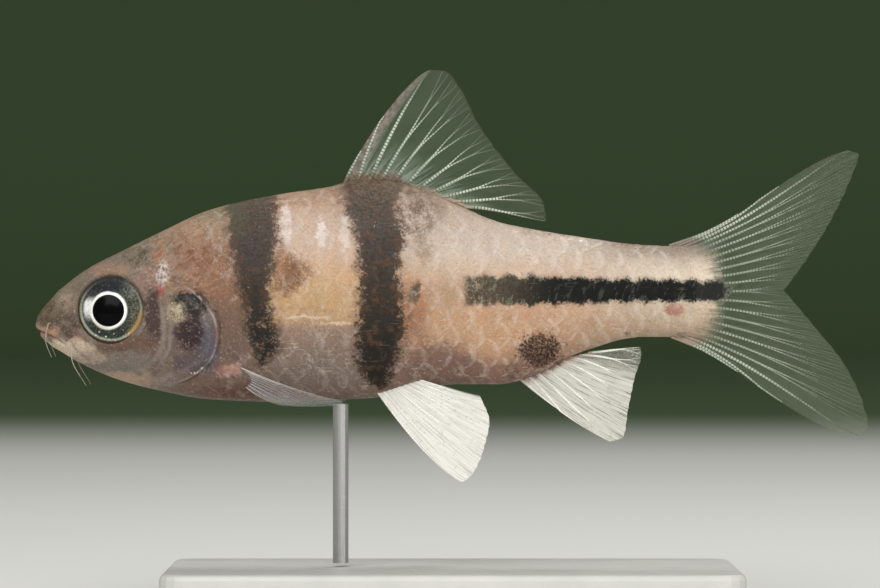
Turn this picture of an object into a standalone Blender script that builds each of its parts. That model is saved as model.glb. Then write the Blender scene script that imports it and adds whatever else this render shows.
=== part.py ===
"""A young spanner barb, life size, swimming level, held up by one rod on a flat display base.

Units are metres. While it is modelled, x runs from the tip of the snout to the tail, the fish's left side faces
-y, and z = 0 is the level that the fish swims at. An empty then lifts it onto its rod.
"""

import math

import bmesh
import bpy
import numpy as np
from mathutils import Vector

MM = 0.001
GAP = 0.3 * MM

# How high the fish swims, and the stand that holds it there
SWIM_LEVEL = 24.0 * MM
BASE_LENGTH = 44.0 * MM
BASE_WIDTH = 26.0 * MM
BASE_THICKNESS = 3.0 * MM
BASE_CORNER = 2.0 * MM
BASE_EDGE = 0.4 * MM
ROD_RADIUS = 0.6 * MM
ROD_PLACE = 23.4 * MM

# The trunk from snout to tail root, in millimetres:
# distance from the snout, back, belly, half width, level of the widest line, upper and lower fullness.
# A fullness of 1 makes that half an ellipse, more makes it a roof, less makes it boxy.
TRUNK = (
    (0.0, -0.90, -3.40, 1.25, -2.10, 0.90, 0.90),
    (0.8, -0.32, -3.92, 1.50, -2.15, 0.90, 0.95),
    (1.7, 0.52, -4.33, 1.90, -2.20, 0.92, 1.00),
    (3.1, 1.58, -5.18, 2.45, -2.20, 0.92, 1.05),
    (6.4, 3.23, -6.62, 3.25, -1.90, 0.95, 1.10),
    (10.0, 5.00, -7.55, 3.75, -1.60, 1.00, 1.10),
    (13.4, 6.56, -8.16, 4.00, -1.20, 1.08, 1.05),
    (18.8, 7.75, -8.35, 4.18, -0.80, 1.12, 1.00),
    (22.6, 8.32, -8.17, 4.10, -0.60, 1.20, 0.98),
    (24.4, 8.80, -8.12, 4.00, -0.55, 1.30, 0.98),
    (26.8, 8.88, -7.95, 3.80, -0.50, 1.30, 1.00),
    (29.8, 8.00, -7.25, 3.50, -0.40, 1.25, 1.00),
    (32.0, 7.10, -7.00, 3.20, -0.35, 1.15, 1.00),
    (35.7, 5.55, -6.98, 2.70, -0.35, 1.10, 1.00),
    (38.1, 5.05, -6.40, 2.40, -0.20, 1.08, 1.02),
    (42.1, 4.40, -4.45, 1.95, 0.05, 1.05, 1.05),
    (46.7, 3.82, -3.34, 1.50, 0.20, 1.00, 1.00),
    (50.3, 3.70, -3.35, 1.15, 0.20, 1.00, 1.00),
    (52.1, 3.90, -3.50, 0.90, 0.20, 1.00, 1.00),
)
SNOUT_CAP = 1.7 * MM
TAIL_CAP = 1.9 * MM
TRUNK_LENGTH = TRUNK[-1][0] * MM

# Thin cuts that part the trunk, and the rings of its mesh
HEAD_END = 14.7 * MM
TORSO_END = 43.4 * MM
SEGMENTS = 40
SNOUT_RINGS, HEAD_RINGS, TORSO_RINGS, STEM_RINGS = 8, 20, 16, 8

# Eye: place of its centre, radius, how far it bulges and how much it looks ahead
EYE_X, EYE_Z = 5.85 * MM, -1.13 * MM
EYE_RADIUS = 2.6 * MM
EYE_APEX = 3.5 * MM
EYE_CURVE = 4.6 * MM
EYE_DEPTH = 2.3 * MM
PUPIL_RADIUS = 1.22 * MM
LENS_RISE = 0.12 * MM
EYE_LOOKS_AHEAD = math.radians(7.0)
EYE_LOOKS_UP = math.radians(5.0)

# Side outlines on the head, in millimetres: cleft of the mouth and back of the lower jaw, and the gill cover
MOUTH_CLEFT = ((-1.0, -2.35), (0.17, -2.85), (1.32, -3.33), (1.9, -3.62), (2.25, -3.80))
JAW_BACK = ((3.8, -4.75), (4.25, -7.2), (-1.0, -7.2))
GILL_COVER = (
    (10.5, 1.05), (12.1, 0.42), (13.25, -0.65), (14.0, -1.9), (14.22, -3.2), (13.9, -4.6),
    (13.0, -5.75), (11.9, -6.45), (10.6, -6.95), (9.3, -6.5), (9.6, -5.0), (9.82, -3.0), (9.82, -0.7),
)
GILL_COVER_RISE = 0.22 * MM
GILL_COVER_DEPTH = 0.8 * MM
NOSTRILS = ((2.12, -0.72, 0.27), (2.72, -0.45, 0.23))
LIP_STEPS = ((0.08, 0.50), (0.15, 0.34))
LIP_CORNER = 2.0

# Fins: membrane, root and edge thickness, and the height of a ray's ridge
MEMBRANE = 0.5 * MM
FIN_ROOT = 0.9 * MM
FIN_EDGE = 0.3 * MM
RAY_RIDGE = 0.13 * MM

BARBEL_WIDTH = 0.5 * MM

SKIN = (0.62, 0.48, 0.38)
SKIN_DARK = (0.48, 0.38, 0.32)
FIN_COLOUR = (0.80, 0.80, 0.74)
EYE_COLOUR = (0.10, 0.13, 0.12)
BARBEL_COLOUR = (0.80, 0.72, 0.62)


def track(place, value):
    """A smooth line through the knots that never overshoots them, as a function of place."""
    place, value = np.array(place, float), np.array(value, float)
    step, rise = np.diff(place), np.diff(value)
    slope = rise / step
    tangent = np.concatenate([[slope[0]], np.zeros(len(slope) - 1), [slope[-1]]])
    same_way = slope[:-1] * slope[1:] > 0
    weight_a, weight_b = 2 * step[1:] + step[:-1], step[1:] + 2 * step[:-1]
    with np.errstate(divide="ignore", invalid="ignore"):
        mean = (weight_a + weight_b) / (weight_a / slope[:-1] + weight_b / slope[1:])
    tangent[1:-1] = np.where(same_way, mean, 0)

    def at(x):
        x = min(max(x, place[0]), place[-1])
        i = min(int(np.searchsorted(place, x, "right")) - 1, len(step) - 1)
        t = (x - place[i]) / step[i]
        hermite = (2 * t**3 - 3 * t**2 + 1) * value[i] + (3 * t**2 - 2 * t**3) * value[i + 1]
        return float(
            hermite + step[i] * ((t**3 - 2 * t**2 + t) * tangent[i] + (t**3 - t**2) * tangent[i + 1])
        )

    return at


def column(index, scale=MM):
    """One column of the trunk's table as a smooth track along x."""
    return track([row[0] * MM for row in TRUNK], [row[index] * scale for row in TRUNK])


back_line, belly_line, half_width = column(1), column(2), column(3)
widest_level = column(4)
upper_fullness, lower_fullness = column(5, 1.0), column(6, 1.0)


def end_rounding(x):
    """Falls to 0 at the snout tip and at the tail root as a quarter circle does, and is 1 between them."""
    from_snout = min(x / SNOUT_CAP, 1.0)
    from_tail = min((TRUNK_LENGTH - x) / TAIL_CAP, 1.0)
    return math.sqrt(max(0.0, 1 - (1 - from_snout) ** 2)) * math.sqrt(max(0.0, 1 - (1 - from_tail) ** 2))


def back(x):
    """Height of the back at x, with the rounded ends."""
    return widest_level(x) + (back_line(x) - widest_level(x)) * end_rounding(x)


def belly(x):
    """Height of the belly at x, with the rounded ends."""
    return widest_level(x) + (belly_line(x) - widest_level(x)) * end_rounding(x)


def trunk_point(x, turn):
    """The point of the skin at x and at the angle turn, which is 0 on the right side and a quarter turn on the back."""
    across, up = math.cos(turn), math.sin(turn)
    height = back(x) - widest_level(x) if up > 0 else widest_level(x) - belly(x)
    fullness = upper_fullness(x) if up > 0 else lower_fullness(x)
    y = half_width(x) * end_rounding(x) * math.copysign(abs(across) ** fullness, across)
    return Vector((x, y, widest_level(x) + height * up))


def orbit_rim(x, z):
    """How far the rim of the orbit rises from the plain head."""
    from_rim = math.hypot(x - EYE_X, z - EYE_Z) - EYE_RADIUS - 0.35 * MM
    return 0.14 * MM * math.exp(-((from_rim / (0.35 * MM)) ** 2))


def ring_places():
    """Where the trunk's rings stand: close together at the rounded ends and on the head."""
    tail_start = TRUNK_LENGTH - TAIL_CAP
    snout = [SNOUT_CAP * (1 - math.cos(math.pi / 2 * i / SNOUT_RINGS)) for i in range(1, SNOUT_RINGS)]
    head = list(np.linspace(SNOUT_CAP, HEAD_END, HEAD_RINGS, endpoint=False))
    torso = list(np.linspace(HEAD_END, TORSO_END, TORSO_RINGS, endpoint=False))
    stem = list(np.linspace(TORSO_END, tail_start, STEM_RINGS // 2, endpoint=False))
    tail = [tail_start + TAIL_CAP * math.sin(math.pi / 2 * i / (STEM_RINGS // 2)) for i in range(STEM_RINGS // 2)]
    return snout + head + torso + stem + tail


def grid_faces(rows, columns, wrap):
    """Triangles between neighbouring rows of points, split alike everywhere."""
    faces = []
    for row in range(rows - 1):
        for col in range(columns if wrap else columns - 1):
            a, b = row * columns + col, row * columns + (col + 1) % columns
            faces += [(a, b, b + columns), (a, b + columns, a + columns)]
    return faces


def mesh_object(name, points, faces, collection):
    """A new object with this mesh, its normals turned outwards."""
    mesh = bpy.data.meshes.new(name)
    mesh.from_pydata([tuple(p) for p in points], [], faces)
    shape = bmesh.new()
    shape.from_mesh(mesh)
    bmesh.ops.recalc_face_normals(shape, faces=shape.faces)
    shape.to_mesh(mesh)
    shape.free()
    obj = bpy.data.objects.new(name, mesh)
    collection.objects.link(obj)
    return obj


def trunk(name, collection, grow=0.0):
    """The whole head and body as one closed loft, grown or shrunk along its normals."""
    places = ring_places()
    turns = [2 * math.pi * i / SEGMENTS for i in range(SEGMENTS)]
    points = [trunk_point(x, turn) for x in places for turn in turns]
    faces = grid_faces(len(places), SEGMENTS, wrap=True)
    snout_tip, tail_tip = len(points), len(points) + 1
    points += [Vector((0, 0, widest_level(0))), Vector((TRUNK_LENGTH, 0, widest_level(TRUNK_LENGTH)))]
    last = (len(places) - 1) * SEGMENTS
    for i in range(SEGMENTS):
        following = (i + 1) % SEGMENTS
        faces += [(snout_tip, following, i), (tail_tip, last + i, last + following)]
    obj = mesh_object(name, points, faces, collection)
    normals = [vertex.normal.copy() for vertex in obj.data.vertices]
    for vertex, normal in zip(obj.data.vertices, normals):
        rise = orbit_rim(vertex.co.x, vertex.co.z) if vertex.co.x < HEAD_END else 0.0
        vertex.co += normal * (rise + grow)
    return obj


def smooth_loop(points, per_span):
    """A closed outline that bends smoothly through its points."""
    found = []
    count = len(points)
    for i in range(count):
        p0, p1, p2, p3 = (np.array(points[(i + k) % count], float) for k in (-1, 0, 1, 2))
        for t in np.linspace(0, 1, per_span, endpoint=False):
            bend = (2 * p0 - 5 * p1 + 4 * p2 - p3) * t**2 + (3 * p1 - p0 - 3 * p2 + p3) * t**3
            found.append(tuple(0.5 * (2 * p1 + (p2 - p0) * t + bend)))
    return found


def grown_outline(points, distance):
    """The same closed outline, moved out by a distance."""
    corners = [Vector(p) for p in points]
    area = sum(a.x * b.y - b.x * a.y for a, b in zip(corners, corners[1:] + corners[:1]))
    outwards = math.copysign(1, area)
    moved = []
    for before, here, after in zip(corners[-1:] + corners[:-1], corners, corners[1:] + corners[:1]):
        sides = [Vector((run.y, -run.x)).normalized() for run in (here - before, after - here)]
        middle = (sides[0] + sides[1]).normalized()
        reach = distance / max(middle.dot(sides[0]), 0.5)
        moved.append(here + middle * reach * outwards)
    return [tuple(p) for p in moved]


def solid_mesh(curve_object, name, collection):
    """A curve's evaluated shape as a welded mesh object, which takes its place."""
    bpy.context.view_layer.update()
    shown = curve_object.evaluated_get(bpy.context.evaluated_depsgraph_get())
    mesh = bpy.data.meshes.new_from_object(shown)
    shape = bmesh.new()
    shape.from_mesh(mesh)
    bmesh.ops.remove_doubles(shape, verts=shape.verts, dist=0.001 * MM)
    bmesh.ops.transform(shape, matrix=curve_object.matrix_world, verts=shape.verts)
    shape.to_mesh(mesh)
    shape.free()
    mesh.name = name
    bpy.data.objects.remove(curve_object)
    obj = bpy.data.objects.new(name, mesh)
    collection.objects.link(obj)
    return obj


def slab(name, outline_mm, near, far, collection):
    """A block with this outline in the side view, in millimetres, from y = near to y = far."""
    curve = bpy.data.curves.new(name + "_outline", "CURVE")
    curve.dimensions = "2D"
    curve.fill_mode = "BOTH"
    curve.extrude = abs(far - near) / 2
    spline = curve.splines.new("POLY")
    spline.points.add(len(outline_mm) - 1)
    for point, (x, z) in zip(spline.points, outline_mm):
        point.co = (x * MM, z * MM, 0, 1)
    spline.use_cyclic_u = True
    flat = bpy.data.objects.new(name + "_outline", curve)
    collection.objects.link(flat)
    flat.rotation_euler = (math.pi / 2, 0, 0)
    flat.location = (0, (near + far) / 2, 0)
    return solid_mesh(flat, name, collection)


def boolean(target, cutter, operation):
    """Cuts, joins or intersects the target with the cutter, at once."""
    modifier = target.modifiers.new(operation.lower(), "BOOLEAN")
    modifier.operation = operation
    modifier.object = cutter
    modifier.solver = "EXACT"
    bpy.context.view_layer.update()
    shown = target.evaluated_get(bpy.context.evaluated_depsgraph_get())
    mesh = bpy.data.meshes.new_from_object(shown)
    target.modifiers.clear()
    target.data = mesh
    keep_largest(target)


def keep_largest(obj):
    """Drops every loose scrap but the largest closed surface."""
    shape = bmesh.new()
    shape.from_mesh(obj.data)
    waiting = set(shape.verts)
    groups = []
    while waiting:
        group, front = set(), [waiting.pop()]
        while front:
            vertex = front.pop()
            group.add(vertex)
            for edge in vertex.link_edges:
                other = edge.other_vert(vertex)
                if other in waiting:
                    waiting.discard(other)
                    front.append(other)
        groups.append(group)
    groups.sort(key=len)
    for group in groups[:-1]:
        bmesh.ops.delete(shape, geom=list(group), context="VERTS")
    shape.to_mesh(obj.data)
    shape.free()


def paint(obj, name, colour, roughness, metallic=0.0):
    """Gives the object its material."""
    material = bpy.data.materials.get(name) or bpy.data.materials.new(name)
    material.use_nodes = True
    shader = material.node_tree.nodes["Principled BSDF"]
    shader.inputs["Base Color"].default_value = (*colour, 1)
    shader.inputs["Roughness"].default_value = roughness
    shader.inputs["Metallic"].default_value = metallic
    obj.data.materials.clear()
    obj.data.materials.append(material)
    obj.data.shade_smooth()
    obj.data.set_sharp_from_angle(angle=math.radians(40))


def eye_profile(extra):
    """Half the eye's section from its front to its back, grown all round: (radius, distance along its axis)."""
    radius, bulge = EYE_RADIUS + extra, EYE_CURVE + extra
    front = [(0.0, LENS_RISE + extra), (PUPIL_RADIUS * 0.6, LENS_RISE * 0.7 + extra - 0.04 * MM)]
    for share in (1.0, 1.35, 1.7, 2.0):
        r = PUPIL_RADIUS * share
        front.append((r, math.sqrt(bulge**2 - r**2) - bulge + extra))
    rim = math.sqrt(bulge**2 - radius**2) - bulge
    back_end = -EYE_DEPTH - extra
    middle = (rim + back_end) / 2
    bowl = []
    for i in range(6):
        turn = math.pi / 2 * i / 6
        bowl.append((radius * math.cos(turn) ** 0.8, rim - 0.1 * MM + (back_end - rim) * math.sin(turn)))
    return front + bowl + [(0.0, min(back_end, middle) - 0.1 * MM)]


def eyeball(name, side, extra, collection):
    """One eye, turned about its own axis and set in the head looking outwards and a little ahead."""
    profile = eye_profile(extra)
    mesh = bpy.data.meshes.new(name + "_profile")
    mesh.from_pydata([(r, 0, h) for r, h in profile], [(i, i + 1) for i in range(len(profile) - 1)], [])
    turned = bpy.data.objects.new(name + "_profile", mesh)
    collection.objects.link(turned)
    screw = turned.modifiers.new("turn", "SCREW")
    screw.steps = screw.render_steps = 28
    screw.use_merge_vertices = True
    screw.merge_threshold = 0.00001
    outwards = (math.pi / 2 - EYE_LOOKS_UP) * side
    turned.rotation_euler = (-outwards, 0, EYE_LOOKS_AHEAD * side)
    turned.location = (EYE_X, side * EYE_APEX, EYE_Z)
    obj = solid_mesh(turned, name, collection)
    shape = bmesh.new()
    shape.from_mesh(obj.data)
    bmesh.ops.recalc_face_normals(shape, faces=shape.faces)
    shape.to_mesh(obj.data)
    shape.free()
    return obj


def curve_through(points):
    """A smooth open line through points in space, as a function of a share from 0 to 1 of its length."""
    points = [Vector(p) for p in points]
    lengths = np.concatenate([[0], np.cumsum([(b - a).length for a, b in zip(points, points[1:])])])
    tracks = [track(lengths / lengths[-1], [p[axis] for p in points]) for axis in range(3)]
    return lambda share: Vector([line(share) for line in tracks])


def ray_line(root, tip, start, end, share):
    """A point along one fin ray: a Bezier curve that leaves the root along start and reaches the tip along end."""
    near, far = root + start, tip - end
    left = 1 - share
    return left**3 * root + 3 * left**2 * share * near + 3 * left * share**2 * far + share**3 * tip


def ray_columns(count, forked):
    """Across the fin: (share of the way across, height of the ridge near the root, height near the edge)."""
    columns = []
    for ray in range(count):
        if forked:
            columns += [(ray - 0.24, 0.8, 1.0), (ray, 1.0, 0.15), (ray + 0.24, 0.8, 1.0), (ray + 0.5, 0.0, 0.0)]
        else:
            columns += [(ray, 1.0, 0.8), (ray + 0.5, 0.0, 0.0)]
    columns.pop()
    first, last = columns[0][0], columns[-1][0]
    return [((place - first) / (last - first), low, high) for place, low, high in columns]


def fin(name, root, margin, lead, trail, rays, collection, forked=False, rows=7, root_width=FIN_ROOT):
    """A fin as one closed sheet whose rays stand up as ridges on both faces.

    root and margin give the ends of a ray by its share of the way across; lead and trail are the start and end
    directions of the first and last ray.
    """
    columns = ray_columns(rays, forked)
    shares = [i / (rows - 1) for i in range(rows)]
    middle, ridge = [], []
    for across, low, high in columns:
        start, end = lead[0].lerp(trail[0], across), lead[1].lerp(trail[1], across)
        for share in shares:
            middle.append(ray_line(root(across), margin(across), start, end, share))
            forking = min(max((share - 0.3) / 0.3, 0.0), 1.0)
            ridge.append((low + (high - low) * forking) * RAY_RIDGE * (1 - 0.6 * share))
    width = len(shares)
    faces = grid_faces(len(columns), width, wrap=False)
    sheet = mesh_object(name + "_middle", middle, faces, collection)
    normals = [vertex.normal.copy() for vertex in sheet.data.vertices]
    bpy.data.objects.remove(sheet)
    points = []
    for side in (1, -1):
        for i, (point, normal) in enumerate(zip(middle, normals)):
            share = shares[i % width]
            thick = MEMBRANE + (root_width - MEMBRANE) * (1 - share) ** 3
            if share == 1.0:
                thick = FIN_EDGE
            points.append(point + normal * side * (thick / 2 + ridge[i]))
    count = len(middle)
    rim = [row * width for row in range(len(columns))]
    rim += [(len(columns) - 1) * width + i for i in range(1, width)]
    rim += [row * width + width - 1 for row in range(len(columns) - 2, -1, -1)]
    rim += list(range(width - 2, 0, -1))
    walls = []
    for a, b in zip(rim, rim[1:] + rim[:1]):
        walls += [(a, b, b + count), (a, b + count, a + count)]
    all_faces = faces + [(a + count, c + count, b + count) for a, b, c in faces] + walls
    return mesh_object(name, points, all_faces, collection)


def side_points(points_mm, y=0.0):
    """Points of a side view, in millimetres, as points in space."""
    return [Vector((x * MM, y, z * MM)) for x, z in points_mm]


def mm_vector(x, y, z):
    return Vector((x, y, z)) * MM


def dorsal_fin(collection):
    first, last = 23.9 * MM, 33.6 * MM

    def root(share):
        x = first + (last - first) * share
        return Vector((x, 0, back(x) + GAP))

    margin = curve_through(side_points(
        [(30.2, 17.25), (31.4, 17.25), (32.6, 16.0), (34.1, 13.1), (37.0, 9.2), (39.1, 6.9), (39.3, 5.6)]
    ))
    lead = (mm_vector(1.2, 0, 2.8), mm_vector(1.8, 0, 0.8))
    trail = (mm_vector(1.9, 0, -0.1), mm_vector(1.9, 0, -0.25))
    return fin("dorsal_fin", root, margin, lead, trail, 11, collection, forked=True, rows=7)


def anal_fin(collection):
    first, last = 37.6 * MM, 42.9 * MM

    def root(share):
        x = first + (last - first) * share
        return Vector((x, 0, belly(x) - GAP))

    margin = curve_through(side_points(
        [(44.2, -11.4), (45.2, -11.1), (45.6, -8.9), (46.1, -6.4), (46.6, -4.6), (46.5, -4.1)]
    ))
    lead = (mm_vector(2.1, 0, -1.8), mm_vector(2.2, 0, -1.0))
    trail = (mm_vector(1.2, 0, 0.1), mm_vector(1.2, 0, 0.05))
    return fin("anal_fin", root, margin, lead, trail, 8, collection)


def tail_root(share):
    """A point a gap behind the rounded end of the trunk: share 0 is its top corner, 1 its bottom corner."""
    turn = math.pi / 2 - math.pi * share
    start = TRUNK_LENGTH - TAIL_CAP
    level = widest_level(TRUNK_LENGTH)
    height = (back_line(TRUNK_LENGTH) if turn > 0 else -belly_line(TRUNK_LENGTH) + 2 * level) - level + GAP
    return Vector((start + (TAIL_CAP + GAP) * math.cos(turn), 0, level + height * math.sin(turn)))


def tail_fin_lobe(name, upper, collection):
    """One lobe of the forked tail fin, its rays fanned from the rounded end of the trunk."""
    level = widest_level(TRUNK_LENGTH)
    split = 0.5 * GAP
    if upper:
        edge = [(62.6, 11.1), (63.45, 10.75), (63.0, 9.4), (61.3, 5.8), (59.3, 2.6), (57.6, 0.55)]
        lead = (mm_vector(4.2, 0, 1.4), mm_vector(4.0, 0, 0.85))
        side = 1
    else:
        edge = [(63.4, -10.9), (64.15, -10.1), (63.9, -8.9), (62.4, -5.6), (60.2, -2.8), (57.6, 0.0)]
        lead = (mm_vector(3.8, 0, -1.5), mm_vector(4.2, 0, -0.1))
        side = -1
    margin = curve_through(side_points(edge))
    trail = (mm_vector(1.9, 0, 0), mm_vector(1.9, 0, 0))

    def root(share):
        point = tail_root(0.5 - side * 0.5 * (1 - share))
        point.z = max(point.z, level + split) if upper else min(point.z, level - split)
        return point

    return fin(name, root, margin, lead, trail, 9, collection, forked=True, rows=7, root_width=1.1 * MM)


def paired(points_mm, side):
    """Points given for the right side, in millimetres, put on the side asked for."""
    return [Vector((x, side * y, z)) * MM for x, y, z in points_mm]


def pelvic_fin(side, label, collection):
    """A pelvic fin, spread down and out from the belly."""
    root_line = curve_through(paired([(26.1, 1.0, -7.3), (27.6, 1.25, -6.9), (29.2, 1.35, -6.5)], side))
    margin = curve_through(paired(
        [(32.8, 4.3, -14.4), (33.5, 4.2, -13.9), (34.6, 3.5, -11.4), (34.9, 2.9, -9.8), (34.2, 2.2, -7.9)], side
    ))
    lead = (mm_vector(1.8, side * 0.8, -2.6), mm_vector(2.2, side * 0.7, -1.0))
    trail = (mm_vector(1.6, side * 0.3, -0.5), mm_vector(1.6, side * 0.2, -0.3))
    return fin("pelvic_fin_" + label, root_line, margin, lead, trail, 9, collection)


def pectoral_fin(side, label, collection):
    """A pectoral fin, swept back and out beside the belly."""
    root_line = curve_through(paired([(14.9, 2.5, -5.2), (15.1, 2.0, -5.8), (15.2, 1.4, -6.3)], side))
    margin = curve_through(paired(
        [(23.6, 7.2, -8.1), (23.8, 6.6, -8.3), (22.4, 5.2, -8.55), (20.6, 4.1, -8.6), (18.9, 3.4, -8.5)], side
    ))
    lead = (mm_vector(2.6, side * 2.3, -1.2), mm_vector(2.8, side * 0.6, -0.5))
    trail = (mm_vector(1.2, side * 0.9, -1.1), mm_vector(1.4, side * 0.3, -0.3))
    return fin("pectoral_fin_" + label, root_line, margin, lead, trail, 11, collection, rows=6)


def barbel(name, points, collection):
    """A barbel: a tube through the points that thins to its tip."""
    line = curve_through(points)
    curve = bpy.data.curves.new(name, "CURVE")
    curve.dimensions = "3D"
    curve.bevel_depth = BARBEL_WIDTH / 2
    curve.bevel_resolution = 2
    curve.use_fill_caps = True
    spline = curve.splines.new("POLY")
    steps = 9
    spline.points.add(steps)
    for i, knot in enumerate(spline.points):
        knot.co = (*line(i / steps), 1)
        knot.radius = 1 - 0.6 * max(0.0, i / steps - 0.3)
    obj = bpy.data.objects.new(name, curve)
    collection.objects.link(obj)
    return solid_mesh(obj, name, collection)


def stand(collection):
    """A flat base and one rod that ends just under the belly."""
    bpy.ops.mesh.primitive_cube_add(size=1, location=(0, 0, BASE_THICKNESS / 2))
    base = bpy.context.object
    base.name = "stand_base"
    base.data.transform(base.matrix_basis)
    base.location = (0, 0, 0)
    for vertex in base.data.vertices:
        vertex.co.x *= BASE_LENGTH
        vertex.co.y *= BASE_WIDTH
        vertex.co.z = BASE_THICKNESS if vertex.co.z > BASE_THICKNESS / 2 else 0
    corners = base.modifiers.new("corners", "BEVEL")
    corners.limit_method = "WEIGHT"
    corners.width = BASE_CORNER
    corners.segments = 4
    weights = base.data.attributes.new("bevel_weight_edge", "FLOAT", "EDGE")
    for edge in base.data.edges:
        ends = [base.data.vertices[i].co for i in edge.vertices]
        weights.data[edge.index].value = 1.0 if abs(ends[0].z - ends[1].z) > BASE_THICKNESS / 2 else 0.0
    rim = base.modifiers.new("rim", "BEVEL")
    rim.limit_method = "ANGLE"
    rim.angle_limit = math.radians(60)
    rim.width = BASE_EDGE
    rim.segments = 2
    foot = BASE_THICKNESS + GAP
    top = SWIM_LEVEL + belly(ROD_PLACE) - GAP
    bpy.ops.mesh.primitive_cylinder_add(vertices=20, radius=ROD_RADIUS, depth=top - foot, location=(0, 0, 0))
    rod = bpy.context.object
    rod.name = "stand_rod"
    rod.location = (0, 0, (top + foot) / 2)
    for obj in (base, rod):
        for owner in list(obj.users_collection):
            owner.objects.unlink(obj)
        collection.objects.link(obj)
    return base, rod


def skin_point(x, z, side):
    """The point of the skin at this place in the side view, and the way out of the skin there."""
    rise = z - widest_level(x)
    reach = back(x) - widest_level(x) if rise > 0 else widest_level(x) - belly(x)
    turn = math.asin(min(max(rise / reach, -1), 1))
    point = trunk_point(x, turn)
    along = trunk_point(x + 0.05 * MM, turn) - point
    around = trunk_point(x, turn + 0.02) - point
    outward = around.cross(along).normalized()
    outward *= math.copysign(1, outward.y)
    return Vector((point.x, side * point.y, point.z)), Vector((outward.x, side * outward.y, outward.z))


def lip_band(name, rise, reach, collection):
    """A band of raised skin round the mouth, this far above the skin and this far to each side of the gape."""
    gape = [(x, z + GAP / MM / 2) for x, z in MOUTH_CLEFT if x < LIP_CORNER]
    corner = (gape[-1][0] + reach, gape[-1][1] - 0.5 * reach)
    outline = [(x, z + reach) for x, z in gape] + [corner] + [(x, z - reach) for x, z in reversed(gape)]
    band = trunk(name, collection, grow=rise * MM)
    boolean(band, slab(name + "_block", outline, -4 * MM, 4 * MM, collection), "INTERSECT")
    return band


def nostril_cutter(name, place, side, collection):
    """A shallow pit at one nostril."""
    x, z, radius = (value * MM for value in place)
    point, outward = skin_point(x, z, side)
    bpy.ops.mesh.primitive_uv_sphere_add(segments=10, ring_count=6, radius=radius, location=point + outward * 0.03 * MM)
    pit = bpy.context.object
    pit.name = name
    for owner in list(pit.users_collection):
        owner.objects.unlink(pit)
    collection.objects.link(pit)
    return pit


def part_trunk(parts, cutters):
    """Parts the whole trunk into head, jaw, gill covers, torso and tail stem with thin cuts."""
    eyes, sockets = [], []
    for side, label in ((-1, "left"), (1, "right")):
        eyes.append(eyeball("eye_" + label, side, 0.0, parts))
        sockets.append(eyeball("socket_" + label, side, GAP, cutters))
    wide = 12.0 * MM
    jaw_outline = list(MOUTH_CLEFT) + list(JAW_BACK)
    cover_outline = smooth_loop(GILL_COVER, 3)
    under_skin = trunk("under_skin", cutters, grow=-GILL_COVER_DEPTH)
    pocket_floor = trunk("pocket_floor", cutters, grow=-GILL_COVER_DEPTH - GAP)

    lips = [lip_band(f"lips_{i}", rise, reach, cutters) for i, (rise, reach) in enumerate(LIP_STEPS)]

    head = trunk("head", parts)
    for band in lips:
        boolean(head, band, "UNION")
    boolean(head, slab("before_gills", [(-3, -20), (HEAD_END / MM - 0.15, -20), (HEAD_END / MM - 0.15, 20),
                                        (-3, 20)], -wide, wide, cutters), "INTERSECT")
    boolean(head, slab("jaw_room", grown_outline(jaw_outline, 0.3), -wide, wide, cutters), "DIFFERENCE")
    jaw = trunk("jaw", parts)
    for band in lips:
        boolean(jaw, band, "UNION")
    boolean(jaw, slab("jaw_block", jaw_outline, -wide, wide, cutters), "INTERSECT")

    covers = []
    for side, label, socket in ((-1, "left", sockets[0]), (1, "right", sockets[1])):
        boolean(head, socket, "DIFFERENCE")
        for i, place in enumerate(NOSTRILS):
            boolean(head, nostril_cutter(f"nostril_{label}_{i}", place, side, cutters), "DIFFERENCE")
        room = slab("cover_room_" + label, grown_outline(cover_outline, 0.3), side * 0.8 * MM, side * wide, cutters)
        boolean(room, pocket_floor, "DIFFERENCE")
        boolean(head, room, "DIFFERENCE")
        cover = trunk("gill_cover_" + label, parts, grow=GILL_COVER_RISE)
        block = slab("cover_block_" + label, cover_outline, side * 0.8 * MM, side * wide, cutters)
        boolean(cover, block, "INTERSECT")
        boolean(cover, under_skin, "DIFFERENCE")
        covers.append(cover)

    torso = trunk("torso", parts)
    boolean(torso, slab("middle", [(HEAD_END / MM + 0.15, -20), (TORSO_END / MM - 0.15, -20),
                                   (TORSO_END / MM - 0.15, 20), (HEAD_END / MM + 0.15, 20)],
                        -wide, wide, cutters), "INTERSECT")
    stem = trunk("tail_stem", parts)
    boolean(stem, slab("behind", [(TORSO_END / MM + 0.15, -20), (60, -20), (60, 20),
                                  (TORSO_END / MM + 0.15, 20)], -wide, wide, cutters), "INTERSECT")
    for obj in (torso, stem):
        paint(obj, "skin", SKIN, 0.35)
    for obj in (head, jaw, *covers):
        paint(obj, "head_skin", SKIN_DARK, 0.35)
    for obj in eyes:
        paint(obj, "eye", EYE_COLOUR, 0.08)


def add_fins(parts, clear_of_trunk):
    """All fins. The paired ones start inside the trunk and are cut clear of it by the gap."""
    fins = [dorsal_fin(parts), anal_fin(parts)]
    fins += [tail_fin_lobe("tail_fin_upper", True, parts), tail_fin_lobe("tail_fin_lower", False, parts)]
    for side, label in ((-1, "left"), (1, "right")):
        for made in (pelvic_fin(side, label, parts), pectoral_fin(side, label, parts)):
            boolean(made, clear_of_trunk, "DIFFERENCE")
            fins.append(made)
    for obj in fins:
        paint(obj, "fin", FIN_COLOUR, 0.3)


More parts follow.
